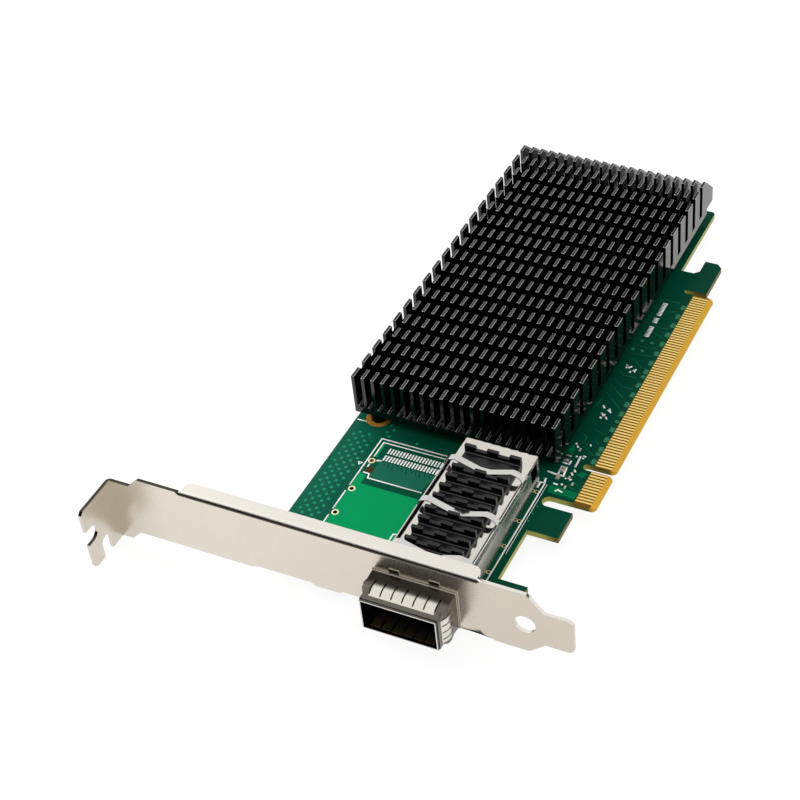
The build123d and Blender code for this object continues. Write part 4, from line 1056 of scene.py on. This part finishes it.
TEXT_ROW_LOW_MM, TEXT_ROW_HIGH_MM, TEXT_STEP_MM = 10.85, 12.2, 0.58
word_strokes = []
for word_start, word_end in ((51.9, 56.3), (58.0, 59.9), (61.2, 66.5)):
    for number in range(int((word_end - word_start) / TEXT_STEP_MM) + 1):
        x = word_start + number * TEXT_STEP_MM
        word_strokes.append([(x, TEXT_ROW_LOW_MM), (x, TEXT_ROW_HIGH_MM)])
make_lines("printed_tick_row", word_strokes, 0.36)
make_lines("printed_fine_lines", [[(-33.8, 14.05), (-9.0, 14.05)]], 0.14)

trace_strokes = [
    [(47.7, 14.8), (47.5, 9.4), (48.2, 7.3)],
    [(43.6, 14.1), (44.4, 9.1), (44.5, 7.4)],
    [(41.6, 13.0), (41.9, 11.0), (39.5, 8.2)],
    [(36.9, 13.2), (35.1, 11.5), (35.3, 7.9)],
    [(33.3, 13.4), (30.7, 10.3), (31.1, 7.3)],
    [(30.8, 13.5), (26.7, 8.2)],
    [(27.3, 13.0), (22.8, 7.8)],
    [(20.4, 14.1), (24.8, 13.2)],
    [(14.0, 12.3), (12.9, 9.3), (12.6, 7.3)],
    [(11.3, 13.4), (10.4, 11.9), (9.6, 11.4), (7.5, 11.7)],
    [(9.9, 9.4), (8.6, 7.6)],
    [(6.6, 11.3), (5.3, 8.9), (4.2, 7.3)],
    [(-7.0, 9.6), (-8.3, 8.2), (-8.2, 7.1)],
    [(-5.6, 8.5), (-7.0, 7.1)],
    [(53.5, 14.0), (53.9, 10.2), (52.6, 7.4)],
    [(57.5, 14.2), (56.3, 8.8), (56.6, 7.3)],
    [(64.0, 14.2), (63.4, 9.6), (64.2, 7.4)],
    [(68.0, 13.6), (67.9, 8.0)],
]
make_lines("lacquered_traces", trace_strokes, 0.3, trace_mask, 0.02)
FAN_COUNT, FAN_STEP_MM = 11, 1.25
fan_strokes = [
    [(-16.15, 55.0 - number * FAN_STEP_MM), (-17.3 - 0.3 * (number % 3), 54.3 - number * FAN_STEP_MM)]
    for number in range(FAN_COUNT)
]
make_lines("pad_fan_traces", fan_strokes, 0.3, fan_mask, 0.04)

# %% [markdown]
# Plated holes carry a gold ring on the face of the board. Each ring is two circles bridged
# into a flat band and raised by the thickness of the plating. The same band, set deeper and dark,
# lines a hole as painted shade, and a dark dot is painted shade at the mouth of one too narrow to
# see into. The land round a spacer looks amber in the photograph, and two round spots look like
# bare brown laminate.

# %% Rings, lined holes and the spacers' lands
RING_HEIGHT_MM = 0.05


def add_ring(bm, x, y, inner_mm, outer_mm, segments=24, foot_mm=-SINK_IN_MM, top_mm=RING_HEIGHT_MM):
    """Adds a flat ring between two heights."""
    turn = Matrix.Translation((x * MM, y * MM, foot_mm * MM))
    loops = []
    for radius in (inner_mm, outer_mm):
        made = bmesh.ops.create_circle(bm, cap_ends=False, radius=radius * MM, segments=segments, matrix=turn)
        loops += list({edge for v in made["verts"] for edge in v.link_edges})
    band = bmesh.ops.bridge_loops(bm, edges=loops)
    raised = bmesh.ops.extrude_face_region(bm, geom=band["faces"])
    top = [v for v in raised["geom"] if isinstance(v, bmesh.types.BMVert)]
    bmesh.ops.translate(bm, verts=top, vec=(0, 0, (top_mm - foot_mm) * MM))


PIN_HOLE_XS = (-12.26, -22.85, -31.66, -40.6)
pin_holes = [(x, y) for x in PIN_HOLE_XS for y in (cage_low.y - 0.55, cage_high.y + 0.55)]
soft_gold = finish_of("immersion_gold_ring", "#fff3cf", "#f6e2ab", (0.4, 0.5), 0.2, 0.002, {"Metallic": 0.7})
rings = bmesh.new()
for x, y, radius in spare_holes:
    add_ring(rings, x, y, radius + 0.04, 0.92)
add_ring(rings, -16.75, 58.0, 0.55, 0.92)
for x, y in pin_holes:
    add_ring(rings, x, y, 0.42, 0.54, 16)
make_drawn("plated_rings", rings, soft_gold)

amber_gold = finish_of(
    "immersion_gold_land", "#e3a23a", "#a8701c", (0.35, 0.5), 0.8, 0.006, {"Metallic": 0.35}
)
lands = bmesh.new()
for x, y in sink_screw_places:
    add_ring(lands, x, y, SLEEVE_RADIUS_MM + 0.05, 3.4, 32)
make_drawn("spacer_lands", lands, amber_gold)

# Painted shade: dark linings in the spare holes and dark dots at the pin holes.
hole_shade = finish_of("painted_hole_shade", "#0c0b08", "#060605", (0.6, 0.7), 0.2, 0.002, SHADED)
hole_linings = bmesh.new()
for x, y, radius in spare_holes:
    add_ring(hole_linings, x, y, 0.4, 0.49, 16, board_low.z / MM + 0.05, 0.02)
for x, y in pin_holes:
    add_dot(hole_linings, x, y, 0.42, 0.03, 12)
make_drawn("hole_linings", hole_linings, hole_shade)

filled_holes = bmesh.new()
add_dot(filled_holes, -19.86, 57.0, 1.15, 0.02, 24)
add_dot(filled_holes, -16.75, 58.0, 0.52, 0.02, 16)
bare_laminate = finish_of("bare_laminate", "#45360f", "#33280f", (0.35, 0.5), 0.3, 0.004, SHADED)
make_drawn("bare_laminate_spots", filled_holes, bare_laminate)

# %% [markdown]
# The stage is a light table in a bright, even room. The table glows, so it stays white and
# hardly takes a shadow. One patch of the room is dark, low on the bracket's side. Its place was
# chosen so that the mirrored dark falls on the steel about where the photograph has it.

# %% Floor, room and lights
floor_bm = bmesh.new()
floor_z = cad_low.z - 0.02 * MM
floor_place = Matrix.Translation((0, 0, floor_z))
bmesh.ops.create_grid(floor_bm, x_segments=1, y_segments=1, size=1.6, matrix=floor_place)
floor_mesh = bpy.data.meshes.new("studio_floor")
floor_bm.to_mesh(floor_mesh)
floor_bm.free()
TABLE_GLOW = 0.9
TABLE_WHITE = 0.15
light_table = start_material(
    "frosted_acrylic_light_table",
    {
        "Base Color": (TABLE_WHITE, TABLE_WHITE, TABLE_WHITE, 1.0),
        "Roughness": 0.9,
        "Specular IOR Level": 0.0,
        "Emission Color": linear("#ffffff"),
        "Emission Strength": TABLE_GLOW,
    },
)[0]
floor_mesh.materials.append(light_table)
floor = bpy.data.objects.new("studio_floor", floor_mesh)
bpy.context.scene.collection.objects.link(floor)
floor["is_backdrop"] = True

ROOM_STRENGTH, PATCH_STRENGTH = 1.0, 0.04
PATCH_RIM_DEGREES, PATCH_CORE_DEGREES = 38, 30
DARK_SIDE = Vector((-0.86, 0.33, 0.38)).normalized()
world = bpy.data.worlds.new("studio_room")
bpy.context.scene.world = world
world.use_nodes = True
room = world.node_tree.nodes["Background"]
direction = add_node(world, "ShaderNodeTexCoord").outputs["Generated"]
nearness = add_node(world, "ShaderNodeVectorMath", {0: direction, 1: DARK_SIDE}, operation="DOT_PRODUCT")
patch_rim, patch_core = (math.cos(math.radians(angle)) for angle in (PATCH_RIM_DEGREES, PATCH_CORE_DEGREES))
dark_patch = ramp(
    world, nearness.outputs["Value"], patch_rim, patch_core, ROOM_STRENGTH, PATCH_STRENGTH, smooth=True
)
connect(world, room, {"Color": linear("#ffffff"), "Strength": dark_patch})


def add_softbox(name, place_mm, aim_mm, size_mm, power):
    """Adds a square area light aimed at a point of the card."""
    light = bpy.data.lights.new(name, "AREA")
    light.shape = "RECTANGLE"
    light.size, light.size_y = (side * MM for side in size_mm)
    light.energy = power
    lamp = bpy.data.objects.new(name, light)
    lamp.location = Vector(place_mm) * MM
    aim = Vector(aim_mm) * MM - lamp.location
    lamp.rotation_euler = aim.to_track_quat("-Z", "Y").to_euler()
    bpy.context.scene.collection.objects.link(lamp)
    return lamp


add_softbox("key_softbox", (150, 800, 500), (25, 45, 5), (500, 500), 4.0)

# %% [markdown]
# The camera is fitted to the photograph. Its direction, roll, distance and focal length were
# worked out from points of the card whose real places are known, and the picture is cut a
# little off centre, which the lens shift repeats.

# %% The camera
AZIMUTH, ELEVATION, ROLL = (math.radians(a) for a in (26.98, 42.45, 4.236))
AIM_MM = Vector((-0.128, 30.415, 5.081))
DISTANCE_MM = 454.46
FOCAL_PIXELS, FRAME_PIXELS = 1841.9, 800
CENTRE_PIXEL = (499.5, 429.8)
SENSOR_MM = 36.0

ahead = Vector(
    (math.cos(ELEVATION) * math.cos(AZIMUTH), math.cos(ELEVATION) * math.sin(AZIMUTH), -math.sin(ELEVATION))
)
level_right = ahead.cross(Vector((0, 0, 1))).normalized()
level_down = ahead.cross(level_right)
right = math.cos(ROLL) * level_right + math.sin(ROLL) * level_down
down = -math.sin(ROLL) * level_right + math.cos(ROLL) * level_down
camera_data = bpy.data.cameras.new("camera")
camera_data.sensor_width = SENSOR_MM
camera_data.lens = FOCAL_PIXELS / FRAME_PIXELS * SENSOR_MM
camera_data.shift_x = (FRAME_PIXELS / 2 - CENTRE_PIXEL[0]) / FRAME_PIXELS
camera_data.shift_y = (CENTRE_PIXEL[1] - FRAME_PIXELS / 2) / FRAME_PIXELS
camera_data.clip_start = 0.01
camera = bpy.data.objects.new("camera", camera_data)
bpy.context.scene.collection.objects.link(camera)
turned = Matrix((right, -down, -ahead)).transposed().to_4x4()
camera.matrix_world = Matrix.Translation((AIM_MM - ahead * DISTANCE_MM) * MM) @ turned
bpy.context.scene.camera = camera
bpy.context.scene.view_settings.view_transform = "Standard"
print("camera at", [round(c / MM, 1) for c in camera.location], "mm")

# %% [markdown]
# Last, the two boxes are kept side by side: the solid card's and the dressed one's. They
# should agree, because the finishing only rounds and prints.

# %% Keep both boxes and finish
low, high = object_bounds()
print("the dressed card measures", [round((h - l) / MM, 2) for l, h in zip(low, high)], "mm")
